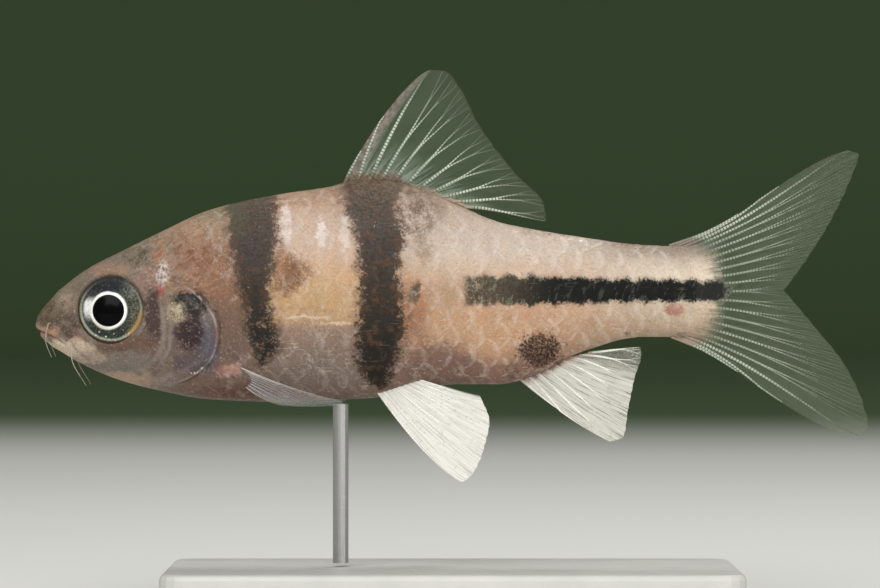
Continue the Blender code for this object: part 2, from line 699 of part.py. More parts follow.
def add_barbels(parts, clear_of_trunk):
    """Two pairs of barbels: a short pair over the upper lip and a longer pair at the corners of the mouth.

    Each one starts inside the skin, is cut clear of it by the gap, stands out a little and then hangs down.
    """
    front = ((1.15, -2.25), (0.15, 0.1, -1.2), (0.6, 0.0, -2.6))
    rear = ((2.85, -3.45), (0.3, 0.15, -1.1), (1.4, 0.0, -3.3))
    for side, label in ((-1, "left"), (1, "right")):
        for place, (root, bend, tip) in (("front", front), ("rear", rear)):
            point, outward = skin_point(root[0] * MM, root[1] * MM, side)
            out = point + outward * 0.75 * MM
            line = [point - outward * 0.4 * MM, out]
            line += [out + Vector((x, side * y, z)) * MM for x, y, z in (bend, tip)]
            obj = barbel("barbel_" + place + "_" + label, line, parts)
            boolean(obj, clear_of_trunk, "DIFFERENCE")
            paint(obj, "barbel", BARBEL_COLOUR, 0.4)


def extent(objects):
    """Lowest and highest corner of the objects' meshes."""
    points = np.array([vertex.co[:] for obj in objects for vertex in obj.data.vertices])
    return points.min(0), points.max(0)


def main():
    for obj in list(bpy.data.objects):
        bpy.data.objects.remove(obj)
    parts = bpy.data.collections.new("spanner_barb")
    cutters = bpy.data.collections.new("cutters")
    for collection in (parts, cutters):
        bpy.context.scene.collection.children.link(collection)

    part_trunk(parts, cutters)
    clear_of_trunk = trunk("clear_of_trunk", cutters, grow=GAP)
    add_fins(parts, clear_of_trunk)
    add_barbels(parts, clear_of_trunk)
    fish = list(parts.objects)
    low, high = extent(fish)

    lift = bpy.data.objects.new("swim_level", None)
    parts.objects.link(lift)
    lift.location = (-(low[0] + high[0]) / 2, 0, SWIM_LEVEL)
    for obj in fish:
        obj.parent = lift
    base, rod = stand(parts)
    rod.location.x = ROD_PLACE + lift.location.x
    paint(base, "stand_base", (0.72, 0.72, 0.70), 0.3)
    paint(rod, "stand_rod", (0.60, 0.60, 0.60), 0.25, metallic=1.0)
    for obj in cutters.objects:
        obj.hide_render = True
        obj.display_type = "WIRE"


main()
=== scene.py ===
# %% [markdown]
# A spanner barb, life size, on a plain display stand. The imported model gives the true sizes. This script
# dresses it: one skin over the head and body, scales on the skin, eyes, fins with their rays, barbels,
# and the finish of every surface. Everything stays where the solids are.

import math

import bpy
import numpy as np
from mathutils import Matrix, Vector


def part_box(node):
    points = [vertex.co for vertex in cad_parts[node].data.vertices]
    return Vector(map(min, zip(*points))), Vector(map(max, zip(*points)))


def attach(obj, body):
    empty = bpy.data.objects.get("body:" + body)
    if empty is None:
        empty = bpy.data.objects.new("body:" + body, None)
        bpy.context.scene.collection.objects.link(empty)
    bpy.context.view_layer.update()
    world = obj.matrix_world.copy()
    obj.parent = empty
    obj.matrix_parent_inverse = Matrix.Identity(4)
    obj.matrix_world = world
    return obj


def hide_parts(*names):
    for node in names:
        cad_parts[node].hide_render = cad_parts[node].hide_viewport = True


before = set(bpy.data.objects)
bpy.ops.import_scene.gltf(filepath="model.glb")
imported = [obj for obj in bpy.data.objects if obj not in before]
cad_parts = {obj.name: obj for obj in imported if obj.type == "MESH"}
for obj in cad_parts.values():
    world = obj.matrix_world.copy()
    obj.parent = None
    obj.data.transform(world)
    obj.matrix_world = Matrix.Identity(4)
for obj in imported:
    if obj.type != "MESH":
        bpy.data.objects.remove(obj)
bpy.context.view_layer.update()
bpy.ops.object.select_all(action="DESELECT")
print("solids:", sorted(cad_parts))

# %% [markdown]
# The fish is drawn in its own millimetres: x runs from the tip of the snout to the tail, its left side
# faces -y, and z = 0 is the level that it swims at. The stand's rod tells how far that lies from the
# model's own origin, because the rod stands a known distance behind the snout.

# %% The fish's own millimetres
MM = 0.001
SWIM_LEVEL = 24.0
ROD_PLACE = 23.4
rod_low, rod_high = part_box("stand_rod")
SNOUT_X = (rod_low.x + rod_high.x) / 2 / MM - ROD_PLACE
print("snout at x =", round(SNOUT_X, 2), "mm")


def to_model(points):
    """Points in the fish's own millimetres as model coordinates in metres."""
    return (np.asarray(points, float) + (SNOUT_X, 0.0, SWIM_LEVEL)) * MM


# %% [markdown]
# The camera comes first. The photograph was taken square on from the left, from so near the fish's own
# height that its flank shows no tilt, so the camera looks straight along +y at the swimming level. A long
# lens from 40 cm keeps the outline as flat as the photograph has it.

# %% Camera
IMAGE_WIDTH = 880
MM_PER_PIXEL = 0.077
SNOUT_PIXEL = 36.8
CAMERA_DISTANCE = 400.0
SENSOR = 36.0
CLIP_START = 0.01

bpy.ops.object.camera_add()
camera = bpy.context.object
camera.name = "camera"
camera.data.sensor_width = SENSOR
camera.data.lens = SENSOR * CAMERA_DISTANCE / (IMAGE_WIDTH * MM_PER_PIXEL)
camera.data.clip_start = CLIP_START
centre_x = (IMAGE_WIDTH / 2 - SNOUT_PIXEL) * MM_PER_PIXEL
camera.location = Vector(to_model((centre_x, -CAMERA_DISTANCE, 0)))
camera.rotation_euler = (math.pi / 2, 0, 0)
bpy.context.scene.camera = camera
print("lens:", round(camera.data.lens, 1), "mm")

# %% [markdown]
# The body is a loft: a table gives its outline and its sections at a few distances from the snout, and a
# smooth track runs through each column. The solids were made from this same table, so the skin lies just
# where they do.

# %% The trunk's sizes
# distance from the snout, back, belly, half width, level of the widest line, upper and lower fullness
TRUNK = (
    (0.0, -0.90, -3.40, 1.25, -2.10, 0.90, 0.90),
    (0.8, -0.32, -3.92, 1.50, -2.15, 0.90, 0.95),
    (1.7, 0.52, -4.33, 1.90, -2.20, 0.92, 1.00),
    (3.1, 1.58, -5.18, 2.45, -2.20, 0.92, 1.05),
    (6.4, 3.23, -6.62, 3.25, -1.90, 0.95, 1.10),
    (10.0, 5.00, -7.55, 3.75, -1.60, 1.00, 1.10),
    (13.4, 6.56, -8.16, 4.00, -1.20, 1.08, 1.05),
    (18.8, 7.75, -8.35, 4.18, -0.80, 1.12, 1.00),
    (22.6, 8.32, -8.17, 4.10, -0.60, 1.20, 0.98),
    (24.4, 8.80, -8.12, 4.00, -0.55, 1.30, 0.98),
    (26.8, 8.88, -7.95, 3.80, -0.50, 1.30, 1.00),
    (29.8, 8.00, -7.25, 3.50, -0.40, 1.25, 1.00),
    (32.0, 7.10, -7.00, 3.20, -0.35, 1.15, 1.00),
    (35.7, 5.55, -6.98, 2.70, -0.35, 1.10, 1.00),
    (38.1, 5.05, -6.40, 2.40, -0.20, 1.08, 1.02),
    (42.1, 4.40, -4.45, 1.95, 0.05, 1.05, 1.05),
    (46.7, 3.82, -3.34, 1.50, 0.20, 1.00, 1.00),
    (50.3, 3.70, -3.35, 1.15, 0.20, 1.00, 1.00),
    (52.1, 3.90, -3.50, 0.90, 0.20, 1.00, 1.00),
)
SNOUT_CAP, TAIL_CAP = 1.7, 1.9
TRUNK_LENGTH = TRUNK[-1][0]
HEAD_END = 14.7


def track(place, value):
    """A smooth line through the knots that never overshoots them, as a function of place."""
    place, value = np.array(place, float), np.array(value, float)
    step = np.diff(place)
    slope = np.diff(value) / step
    before, after = slope[:-1], slope[1:]
    heavy, light = 2 * step[1:] + step[:-1], step[1:] + 2 * step[:-1]
    with np.errstate(divide="ignore", invalid="ignore"):
        mean = (heavy + light) / (heavy / before + light / after)
    tangent = np.concatenate([slope[:1], np.where(before * after > 0, mean, 0), slope[-1:]])

    def at(x):
        x = np.clip(x, place[0], place[-1])
        i = np.minimum(np.searchsorted(place, x, "right") - 1, len(step) - 1)
        t = (x - place[i]) / step[i]
        ends = (2 * t**3 - 3 * t**2 + 1) * value[i] + (3 * t**2 - 2 * t**3) * value[i + 1]
        return ends + step[i] * ((t**3 - 2 * t**2 + t) * tangent[i] + (t**3 - t**2) * tangent[i + 1])

    return at


distances = [row[0] for row in TRUNK]
back_line, belly_line, half_width, widest_level, upper_fullness, lower_fullness = (
    track(distances, [row[column] for row in TRUNK]) for column in range(1, 7)
)


def end_rounding(x):
    """Falls to 0 at the snout tip and at the tail root as a quarter circle does, and is 1 between them."""
    from_snout = np.clip(x / SNOUT_CAP, 0, 1)
    from_tail = np.clip((TRUNK_LENGTH - x) / TAIL_CAP, 0, 1)
    return np.sqrt(1 - (1 - from_snout) ** 2) * np.sqrt(1 - (1 - from_tail) ** 2)


def back(x):
    """Height of the back, with the rounded ends."""
    return widest_level(x) + (back_line(x) - widest_level(x)) * end_rounding(x)


def belly(x):
    """Height of the belly, with the rounded ends."""
    return widest_level(x) + (belly_line(x) - widest_level(x)) * end_rounding(x)


def trunk_points(x, turn):
    """Points of the trunk's surface at x; turn is 0 on the right side and a quarter turn on the back."""
    across, up = np.cos(turn), np.sin(turn)
    height = np.where(up > 0, back(x) - widest_level(x), widest_level(x) - belly(x))
    fullness = np.where(up > 0, upper_fullness(x), lower_fullness(x))
    y = half_width(x) * end_rounding(x) * np.sign(across) * np.abs(across) ** fullness
    return np.stack([x, y, widest_level(x) + height * up], axis=-1)


print("trunk length:", TRUNK_LENGTH, "mm")


# %% [markdown]
# Helpers for distances in the side view. The gill cover, the mouth and the ridges of the head are lines
# there, and the skin rises or sinks by how near it is to them.

# %% Lines in the side view
LINE_STEPS = 6


def smooth_step(low, high, value):
    """0 below low, 1 above high, and a soft step between; low may lie above high."""
    t = np.clip((value - low) / (high - low), 0, 1)
    return t * t * (3 - 2 * t)


def bump(value, width):
    """1 where value is 0, falling away softly over width."""
    return np.exp(-((value / width) ** 2))


def line_distance(x, z, line):
    """Distance to a line in the side view, signed: above 0 on its left hand as it is drawn."""
    best = np.full(np.shape(x), 1e9)
    signed = np.zeros(np.shape(x))
    for (ax, az), (bx, bz) in zip(line, line[1:]):
        dx, dz = bx - ax, bz - az
        t = np.clip(((x - ax) * dx + (z - az) * dz) / (dx * dx + dz * dz), 0, 1)
        away = np.hypot(x - ax - t * dx, z - az - t * dz)
        side = np.sign(dx * (z - az) - dz * (x - ax))
        nearer = away < best
        best = np.where(nearer, away, best)
        signed = np.where(nearer, away * side, signed)
    return signed


def run_along(points):
    """The distance along a line of points, from its first point to each."""
    return np.concatenate([[0], np.cumsum(np.linalg.norm(np.diff(points, axis=0), axis=1))])


def smooth_line(points):
    """More points along an open line, bent smoothly through the given ones."""
    points = np.array(points, float)
    lengths = run_along(points)
    places = np.linspace(0, lengths[-1], LINE_STEPS * (len(points) - 1) + 1)
    return list(zip(*(track(lengths, points[:, axis])(places) for axis in (0, 1))))


# %% [markdown]
# The skin of a real fish runs unbroken from the lips to the tail root, so it is one piece here, though
# the solids are parted into head, jaw, gill covers, trunk and tail stem. A sphere with its poles at the
# snout and the tail has the right kind of mesh: rings across the body and no seam. Its points move to the
# loft's surface, with the rings close together on the head, where the fine forms are. A subdivided box
# would need many more faces for that.

# %% Skin: the plain form
SKIN_SEGMENTS = 248
SNOUT_SHARE, HEAD_SHARE, BODY_SHARE = 0.12, 0.60, 0.95
SKIN_RINGS = 280
COAT_DEPTH = 0.05


def ring_place(share):
    """Distance from the snout of a ring, by its share of the way from pole to pole."""
    snout = SNOUT_CAP * (1 - np.cos(math.pi / 2 * np.clip(share / SNOUT_SHARE, 0, 1)))
    tail_start = TRUNK_LENGTH - TAIL_CAP
    middle = np.interp(share, (SNOUT_SHARE, HEAD_SHARE, BODY_SHARE), (SNOUT_CAP, HEAD_END, tail_start))
    last_share = np.clip((share - BODY_SHARE) / (1 - BODY_SHARE), 0, 1)
    tail = tail_start + TAIL_CAP * np.sin(math.pi / 2 * last_share)
    return np.where(share < SNOUT_SHARE, snout, np.where(share > BODY_SHARE, tail, middle))


def read_points(obj):
    """The object's points as rows of coordinates."""
    flat = np.empty(len(obj.data.vertices) * 3)
    obj.data.vertices.foreach_get("co", flat)
    return flat.reshape(-1, 3)


def write_points(obj, points):
    """Moves the object's points."""
    obj.data.vertices.foreach_set("co", np.asarray(points, float).ravel())
    obj.data.update()


def read_normals(obj):
    """The object's point normals as rows."""
    flat = np.empty(len(obj.data.vertices) * 3)
    obj.data.vertex_normals.foreach_get("vector", flat)
    return flat.reshape(-1, 3)


def make_active(obj):
    """Selects this object alone, because an operator acts on all that is selected."""
    bpy.ops.object.select_all(action="DESELECT")
    obj.select_set(True)
    bpy.context.view_layer.objects.active = obj


def turn_outwards(obj):
    """Makes all faces of the object point outwards."""
    make_active(obj)
    bpy.ops.object.mode_set(mode="EDIT")
    bpy.ops.mesh.select_all(action="SELECT")
    bpy.ops.mesh.normals_make_consistent(inside=False)
    bpy.ops.object.mode_set(mode="OBJECT")
    obj.select_set(False)


def smooth(obj):
    """Shades the object smooth all over."""
    make_active(obj)
    bpy.ops.object.shade_smooth()


bpy.ops.mesh.primitive_uv_sphere_add(segments=SKIN_SEGMENTS, ring_count=SKIN_RINGS, radius=1)
skin = bpy.context.object
skin.name = "skin"
sphere = read_points(skin)
skin_share = np.arccos(np.clip(sphere[:, 2], -1, 1)) / math.pi
skin_turn = np.arctan2(sphere[:, 1], sphere[:, 0])
skin_x = np.clip(ring_place(skin_share), 0, TRUNK_LENGTH)
write_points(skin, trunk_points(skin_x, skin_turn))
turn_outwards(skin)
print("skin faces:", len(skin.data.polygons))

# %% [markdown]
# The head gets the most care. Its forms are sunk or raised in the skin: the socket that the eye sits in,
# the cleft of the mouth between rolled lips, the nostrils with the flap between them, the edges of the
# cheek bones, and the gill cover, whose rear edge stands clear of the shoulder over a narrow slit. They
# could be sculpted, but the places are known in the side view, so each is a rise by distance from its
# line.

# %% Skin: the forms of the head
EYE_X, EYE_Z, EYE_RADIUS, EYE_APEX = 5.85, -1.13, 2.6, 3.5
SOCKET_DEPTH, SOCKET_RIM = 1.25, 0.10
MOUTH = ((-1.0, -2.30), (0.17, -2.80), (1.32, -3.28), (1.9, -3.57), (2.3, -3.85))
LIP_WIDTH, LIP_RISE = 0.30, 0.13
CLEFT_WIDTH, CLEFT_DEPTH = 0.08, 0.17
GILL_EDGE = smooth_line((
    (10.3, 1.15), (10.5, 1.05), (12.1, 0.42), (13.25, -0.65), (14.0, -1.9), (14.22, -3.2), (13.9, -4.6),
    (13.0, -5.75), (11.9, -6.45), (10.6, -6.95), (9.0, -7.35), (6.6, -6.9), (4.6, -6.1),
))
GILL_RISE, SLIT_DEPTH = 0.20, 0.14
CHEEK_EDGE = smooth_line((
    (9.95, 0.3), (10.3, -0.65), (10.5, -2.33), (10.4, -4.1), (9.9, -5.0), (9.0, -6.0), (7.4, -6.6),
))
# distance from the cheek's edge, height and width of each fold
CHEEK_FOLDS = ((0.0, 0.06, 0.13), (0.28, -0.05, 0.14), (0.55, 0.04, 0.14))
JAW_FOLD = smooth_line(((1.75, -2.2), (2.35, -2.9), (2.75, -3.7), (3.3, -4.5), (4.2, -5.2)))
UNDER_EYE = smooth_line(((2.9, -2.5), (3.6, -3.6), (5.2, -4.5), (7.2, -4.3), (8.7, -2.9), (9.2, -1.2)))
JAW_FOLD_DEPTH, UNDER_EYE_DEPTH = 0.07, 0.04
# place and radius of each nostril
NOSTRILS = ((2.12, -0.72, 0.27), (2.72, -0.45, 0.23))
NOSTRIL_DEPTH, NOSTRIL_RIM = 0.20, 0.06
SNOUT_TRIM = 0.20


def head_rise(x, z):
    """How far the skin of the head rises above the plain loft, in millimetres."""
    rise = np.zeros(np.shape(x))
    from_rim = np.hypot(x - EYE_X, z - EYE_Z) - EYE_RADIUS
    rise += SOCKET_RIM * bump(from_rim - 0.30, 0.24) - SOCKET_DEPTH * smooth_step(0.10, -0.45, from_rim)
    gape = line_distance(x, z, MOUTH)
    near_mouth = smooth_step(2.9, 2.2, x)
    lips = bump(np.abs(gape) - LIP_WIDTH * 0.9, LIP_WIDTH * 0.8)
    rise += near_mouth * (LIP_RISE * lips - CLEFT_DEPTH * bump(gape, CLEFT_WIDTH))
    rise -= SNOUT_TRIM * bump(x - 2.2, 1.9) * smooth_step(-1.9, 0.0, z)
    edge = -line_distance(x, z, GILL_EDGE)
    on_gills = smooth_step(7.2, 10.2, x) * smooth_step(15.5, 14.5, x) * smooth_step(-7.4, -6.2, z)
    lift = GILL_RISE * smooth_step(-0.04, 0.14, edge) * smooth_step(4.5, 1.0, edge)
    rise += on_gills * (lift - SLIT_DEPTH * bump(edge + 0.16, 0.13))
    cheek = line_distance(x, z, CHEEK_EDGE)
    folds = sum(height * bump(cheek - away, width) for away, height, width in CHEEK_FOLDS)
    rise += folds * smooth_step(-6.4, -5.6, z)
    rise -= JAW_FOLD_DEPTH * bump(line_distance(x, z, JAW_FOLD), 0.16) * smooth_step(1.6, 2.2, x)
    rise -= UNDER_EYE_DEPTH * bump(line_distance(x, z, UNDER_EYE), 0.22)
    for place_x, place_z, radius in NOSTRILS:
        away = np.hypot(x - place_x, z - place_z)
        rise += NOSTRIL_RIM * bump(away - radius * 1.1, 0.09) - NOSTRIL_DEPTH * bump(away, radius * 0.75)
    return rise


# %% [markdown]
# The skin sinks a hair's breadth where the scales will lie on it. How far each point lies from the lines
# of the head is stored in the mesh, because the finish of the skin follows the same lines.

# %% Skin: relief and stored lines
COAT_FROM, COAT_TO, RELIEF_END = 10.5, 13.5, 16
HEAD_LINES = {"gape": MOUTH, "gill_edge": GILL_EDGE, "cheek_edge": CHEEK_EDGE, "jaw_fold": JAW_FOLD}
STORED_REACH = 3

plain = trunk_points(skin_x, skin_turn)
normals = read_normals(skin)
coat = COAT_DEPTH * smooth_step(COAT_FROM, COAT_TO, skin_x)
rise = np.where(skin_x < RELIEF_END, head_rise(plain[:, 0], plain[:, 2]), 0) - coat
write_points(skin, to_model(plain + normals * rise[:, None]))
for label, line in HEAD_LINES.items():
    away = np.clip(line_distance(plain[:, 0], plain[:, 2], line), -STORED_REACH, STORED_REACH)
    skin.data.attributes.new(label, "FLOAT", "POINT").data.foreach_set("value", away)
smooth(skin)
print("relief on the head:", round(float(rise.min()), 2), "to", round(float(rise.max()), 2), "mm")

# %% [markdown]
# Materials are node trees, and their maths reads best as plain expressions. This small class wraps one
# socket: its operators add Math nodes, and its node method adds any other node, with its settings first
# and then the values or links of its sockets.


# %% Shader maths
class Shade:
    """One output socket of a node tree that can be used in expressions."""

    def __init__(self, tree, socket=None):
        self.tree = tree
        self.socket = socket

    def node(self, kind, settings=None, sockets=None, out=0):
        """Adds a node. Stops set a colour ramp and points a curve; any other setting is a property."""
        made = self.tree.nodes.new("ShaderNode" + kind)
        for name, value in (settings or {}).items():
            if name == "stops":
                ramp = made.color_ramp
                while len(ramp.elements) < len(value):
                    ramp.elements.new(1.0)
                for stop, (place, colour) in zip(ramp.elements, value):
                    stop.position = place
                    stop.color = (*colour, 1) if len(colour) == 3 else colour
            elif name == "points":
                curve = made.mapping.curves[0]
                while len(curve.points) < len(value):
                    curve.points.new(0.5, 0.5)
                for point, place in zip(curve.points, value):
                    point.location = place
                made.mapping.update()
            else:
                setattr(made, name, value)
        for name, value in (sockets or {}).items():
            if isinstance(value, Shade):
                self.tree.links.new(value.socket, made.inputs[name])
            else:
                made.inputs[name].default_value = value
        return Shade(self.tree, made.outputs[out])

    def attribute(self, name):
        """The value that the mesh stores under this name."""
        return self.node("Attribute", {"attribute_name": name}, out="Fac")

    def math(self, operation, *values):
        """A Math node on these values."""
        return self.node("Math", {"operation": operation}, dict(enumerate(values)))

    def __add__(self, other):
        return self.math("ADD", self, other)

    def __sub__(self, other):
        return self.math("SUBTRACT", self, other)

    def __rsub__(self, other):
        return self.math("SUBTRACT", other, self)

    def __mul__(self, other):
        return self.math("MULTIPLY", self, other)

    def __truediv__(self, other):
        return self.math("DIVIDE", self, other)

    def __abs__(self):
        return self.math("ABSOLUTE", self)

    __radd__, __rmul__ = __add__, __mul__

    def fraction(self):
        """What is left of the value behind the point."""
        return self.math("FRACT", self)

    def larger(self, other):
        """The larger of two values."""
        return self.math("MAXIMUM", self, other)

    def length(self):
        """The length of a vector."""
        return self.node("VectorMath", {"operation": "LENGTH"}, {0: self}, out="Value")

    def split(self):
        """The three parts of a vector or colour."""
        parts = self.node("SeparateXYZ", {}, {0: self}).socket.node.outputs
        return tuple(Shade(self.tree, part) for part in parts)

    def turned(self, angle, scale):
        """The place turned in the side view, then stretched."""
        sockets = {"Vector": self, "Rotation": (0, angle, 0), "Scale": [1 / share for share in scale]}
        return self.node("Mapping", {"vector_type": "TEXTURE"}, sockets)

    def step(self, low, high):
        """A soft step from 0 at low to 1 at high; low may lie above high."""
        if low > high:
            return 1 - self.step(high, low)
        sockets = {"Value": self, "From Min": low, "From Max": high}
        return self.node("MapRange", {"interpolation_type": "SMOOTHSTEP"}, sockets)

    def near(self, place, width):
        """1 at this value, falling softly to 0 a width away."""
        return abs(self - place).step(width, 0.0)

    def curve(self, points, low, high):
        """A value read off a smooth curve through points whose places run from low to high."""
        heights = [value for _, value in points]
        least, span = min(heights), max(heights) - min(heights)
        scaled = [((place - low) / (high - low), (value - least) / span) for place, value in points]
        share = (self - low) / (high - low)
        return self.node("FloatCurve", {"points": scaled}, {"Value": share}) * span + least

    def ramp(self, stops, low, high):
        """A colour read off a ramp whose stops lie from low to high."""
        scaled = [((place - low) / (high - low), rgb(*colour)) for place, colour in stops]
        return self.node("ValToRGB", {"stops": scaled}, {"Fac": (self - low) / (high - low)})


def rgb(red, green, blue):
    """A colour given as it looks on a screen, from 0 to 255, as the linear colour that a shader needs."""
    shares = (red / 255, green / 255, blue / 255)
    return tuple(v / 12.92 if v <= 0.04045 else ((v + 0.055) / 1.055) ** 2.4 for v in shares)


def blend(share, first, second, mode="MIX"):
    """Mixes two colours, each a socket or a colour, by a share that is a socket or a number."""
    tree = next(value for value in (share, first, second) if isinstance(value, Shade))
    ends = [value if isinstance(value, Shade) else (*value, 1) for value in (first, second)]
    settings = {"data_type": "RGBA", "blend_type": mode}
    return tree.node("Mix", settings, {0: share, 6: ends[0], 7: ends[1]}, out=2)


def shaded(colour, amount):
    """The colour made darker or lighter by an amount, where 1 leaves it as it is."""
    return blend(1.0, colour, amount, "MULTIPLY")


def noise(place, scale, detail=3.0, roughness=0.55, out=0):
    """Soft noise whose forms are about 1 / scale across."""
    sockets = {"Vector": place, "Scale": scale, "Detail": detail, "Roughness": roughness}
    return place.node("TexNoise", {}, sockets, out=out)


def cells(place, scale, out="Distance"):
    """Cells about 1 / scale across: the distance to the nearest middle, or a colour for each cell."""
    return place.node("TexVoronoi", {"feature": "F1"}, {"Vector": place, "Scale": scale}, out=out)


def fish_place(tree):
    """Where a point lies, in the fish's own millimetres, from its object's coordinates."""
    here = tree.node("TexCoord", out="Object")
    back_to_fish = {"Vector": here, "Location": (-SNOUT_X, 0, -SWIM_LEVEL), "Scale": (1 / MM,) * 3}
    return tree.node("Mapping", {}, back_to_fish)


def stretched(place, x, y, z):
    """The same place with each axis stretched."""
    return place.node("Mapping", {}, {"Vector": place, "Scale": (x, y, z)})


def from_middle(place, x, z, wide=1.0, high=1.0):
    """The way from the middle of an ellipse in the side view, where a length of 1 reaches its edge."""
    sockets = {0: place, 1: (1 / wide, 0, 1 / high), 2: (-x / wide, 0, -z / high)}
    return place.node("VectorMath", {"operation": "MULTIPLY_ADD"}, sockets)


def new_material(name):
    """A material with a Principled shader: the material, its shader and a start for its expressions."""
    material = bpy.data.materials.new(name)
    material.use_nodes = True
    shader = material.node_tree.nodes["Principled BSDF"]
    return material, shader, Shade(material.node_tree)


def plug(shader, **values):
    """Sets or links the shader's sockets, named with underscores for spaces."""
    for name, value in values.items():
        socket = shader.inputs[name.replace("_", " ")]
        if isinstance(value, Shade):
            value.tree.links.new(value.socket, socket)
        else:
            socket.default_value = value


def bumped(tree, height, distance):
    """A normal that follows a height, with the distance in millimetres that a height of 1 stands for."""
    return tree.node("Bump", {}, {"Height": height, "Distance": distance * MM, "Strength": 1.0})


# %% [markdown]
# The markings are what names this fish: two dark bars across the front of the body, a stripe like the
# shaft of a spanner from mid body to the tail, and a spot above the anal fin, on a ground that is pinkish
# above, golden in the middle and dusky on the belly. Skin and scales must show the same markings, so one
# function paints both. It reads the place in the side view, so both flanks match, while the noise in it
# is solid and differs on each side.

# %% Ground colours
LOW, HIGH = -9.0, 9.0
SHOULDER = (
    (-8.3, (104, 80, 68)), (-6.8, (118, 96, 84)), (-4.0, (112, 90, 80)), (-1.5, (116, 92, 78)),
    (0.2, (136, 98, 76)), (2.2, (142, 101, 76)), (3.8, (148, 112, 88)), (5.2, (148, 121, 97)),
    (6.4, (124, 112, 90)),
)
BETWEEN_BARS = (
    (-8.3, (108, 88, 76)), (-6.2, (124, 107, 97)), (-4.3, (137, 116, 103)), (-2.7, (150, 124, 106)),
    (-2.0, (188, 150, 112)), (-0.5, (193, 156, 114)), (1.6, (202, 163, 125)), (3.2, (203, 172, 149)),
    (5.3, (197, 170, 152)), (7.2, (182, 150, 128)), (8.0, (150, 124, 100)), (8.8, (120, 104, 82)),
)
BEHIND_BARS = (
    (-7.1, (128, 98, 84)), (-5.6, (138, 104, 88)), (-4.3, (174, 135, 109)), (-2.8, (191, 151, 119)),
    (-1.2, (197, 156, 124)), (0.3, (186, 151, 124)), (1.8, (205, 176, 152)), (3.2, (206, 187, 170)),
    (4.6, (199, 180, 164)), (6.0, (188, 166, 149)), (7.3, (164, 141, 122)),
)
TAIL_STEM = (
    (-5.0, (140, 128, 114)), (-3.6, (160, 138, 118)), (-2.4, (184, 158, 134)), (-1.2, (198, 178, 154)),
    (1.4, (224, 206, 185)), (2.4, (202, 185, 167)), (3.1, (158, 141, 125)), (3.8, (132, 118, 105)),
    (6.0, (124, 116, 108)),
)


def ground(place_x, place_z, wander):
    """The fish's ground colour."""
    z = place_z + wander * 0.9
    colours = [z.ramp(stops, LOW, HIGH) for stops in (SHOULDER, BETWEEN_BARS, BEHIND_BARS, TAIL_STEM)]
    colour = blend(place_x.step(15.5, 18.5), colours[0], colours[1])
    colour = blend(place_x.step(25.5, 30.5), colour, colours[2])
    return blend(place_x.step(39.0, 49.0), colour, colours[3])


# %% [markdown]
# The bars and the stripe lie on a skin that is already blotched: an orange smudge, a gold patch on the
# gill cover, a bluish cheek. Each is an ellipse in the side view with a colour and a strength. Some cover
# their place, and some show only as mottling.

# %% Patches of colour on the head and body
# x, z, half width, half height, colour, strength
HEAD_PATCHES = (
    (4.6, -1.6, 7.0, 7.2, (124, 110, 97), 1.0),
    (6.5, 3.2, 5.0, 1.9, (120, 109, 94), 0.9),
    (6.6, -3.9, 2.6, 0.8, (104, 82, 70), 0.75),
    (5.6, 1.9, 1.7, 0.5, (152, 120, 98), 0.7),
    (2.2, 0.0, 2.2, 1.5, (124, 112, 95), 0.9),
    (2.5, -0.6, 0.6, 0.7, (158, 136, 120), 0.7),
    (0.9, -1.6, 1.1, 1.0, (112, 96, 74), 0.7),
    (3.35, -3.35, 0.5, 0.45, (176, 128, 114), 0.8),
    (8.6, 1.0, 0.9, 1.3, (136, 104, 96), 0.6),
    (9.2, -1.7, 0.75, 2.4, (66, 48, 48), 0.9),
    (7.6, -3.8, 2.4, 0.8, (108, 82, 70), 0.7),
    (7.4, -5.3, 2.3, 0.9, (122, 120, 116), 0.5),
    (9.1, -5.5, 0.5, 1.0, (96, 76, 66), 0.6),
    (2.6, -4.15, 2.0, 0.75, (204, 186, 164), 0.9),
    (4.3, -4.9, 1.3, 0.5, (176, 156, 138), 0.7),
    (6.6, -6.6, 3.6, 0.6, (172, 145, 121), 0.85),
    (1.0, -2.9, 0.9, 0.45, (178, 138, 112), 0.7),
    (9.9, -6.6, 1.4, 0.6, (124, 112, 108), 0.6),
    (10.9, -3.8, 0.5, 2.2, (104, 88, 84), 0.7),
    (12.35, -2.9, 1.35, 1.6, (50, 34, 38), 0.95),
    (13.4, -4.2, 0.75, 1.9, (92, 86, 96), 0.85),
    (11.9, -5.3, 1.4, 0.8, (88, 78, 80), 0.8),
    (13.3, -1.6, 0.5, 1.1, (116, 108, 104), 0.6),
    (11.9, -0.45, 1.25, 0.75, (34, 32, 27), 1.0),
    (12.4, -0.9, 0.8, 0.9, (36, 31, 28), 0.9),
    (10.75, -1.45, 0.95, 0.85, (146, 130, 104), 0.55),
    (15.2, -5.9, 0.9, 0.5, (190, 158, 142), 0.8),
    (15.5, -7.6, 2.8, 0.5, (100, 70, 58), 0.8),
)
BODY_PATCHES = (
    (19.3, 5.2, 0.40, 1.7, (238, 226, 218), 0.55),
    (22.0, 4.6, 0.35, 1.2, (240, 230, 224), 0.55),
    (23.8, 4.7, 0.40, 1.4, (238, 226, 218), 0.45),
    (19.3, 1.6, 1.15, 1.8, (124, 80, 50), 0.85),
    (20.6, 5.6, 0.5, 1.2, (196, 166, 144), 0.6),
    (20.6, -1.80, 1.7, 0.13, (222, 198, 174), 0.75),
    (22.9, -2.20, 1.4, 0.12, (222, 198, 174), 0.7),
    (30.9, -5.6, 3.2, 1.8, (118, 90, 80), 0.8),
    (28.9, -1.2, 1.3, 2.6, (178, 122, 88), 0.8),
    (29.15, 0.15, 0.42, 0.8, (82, 72, 56), 0.85),
    (35.5, -3.4, 3.0, 1.8, (198, 154, 118), 0.5),
    (49.1, -1.1, 0.75, 0.5, (172, 108, 92), 0.8),
)
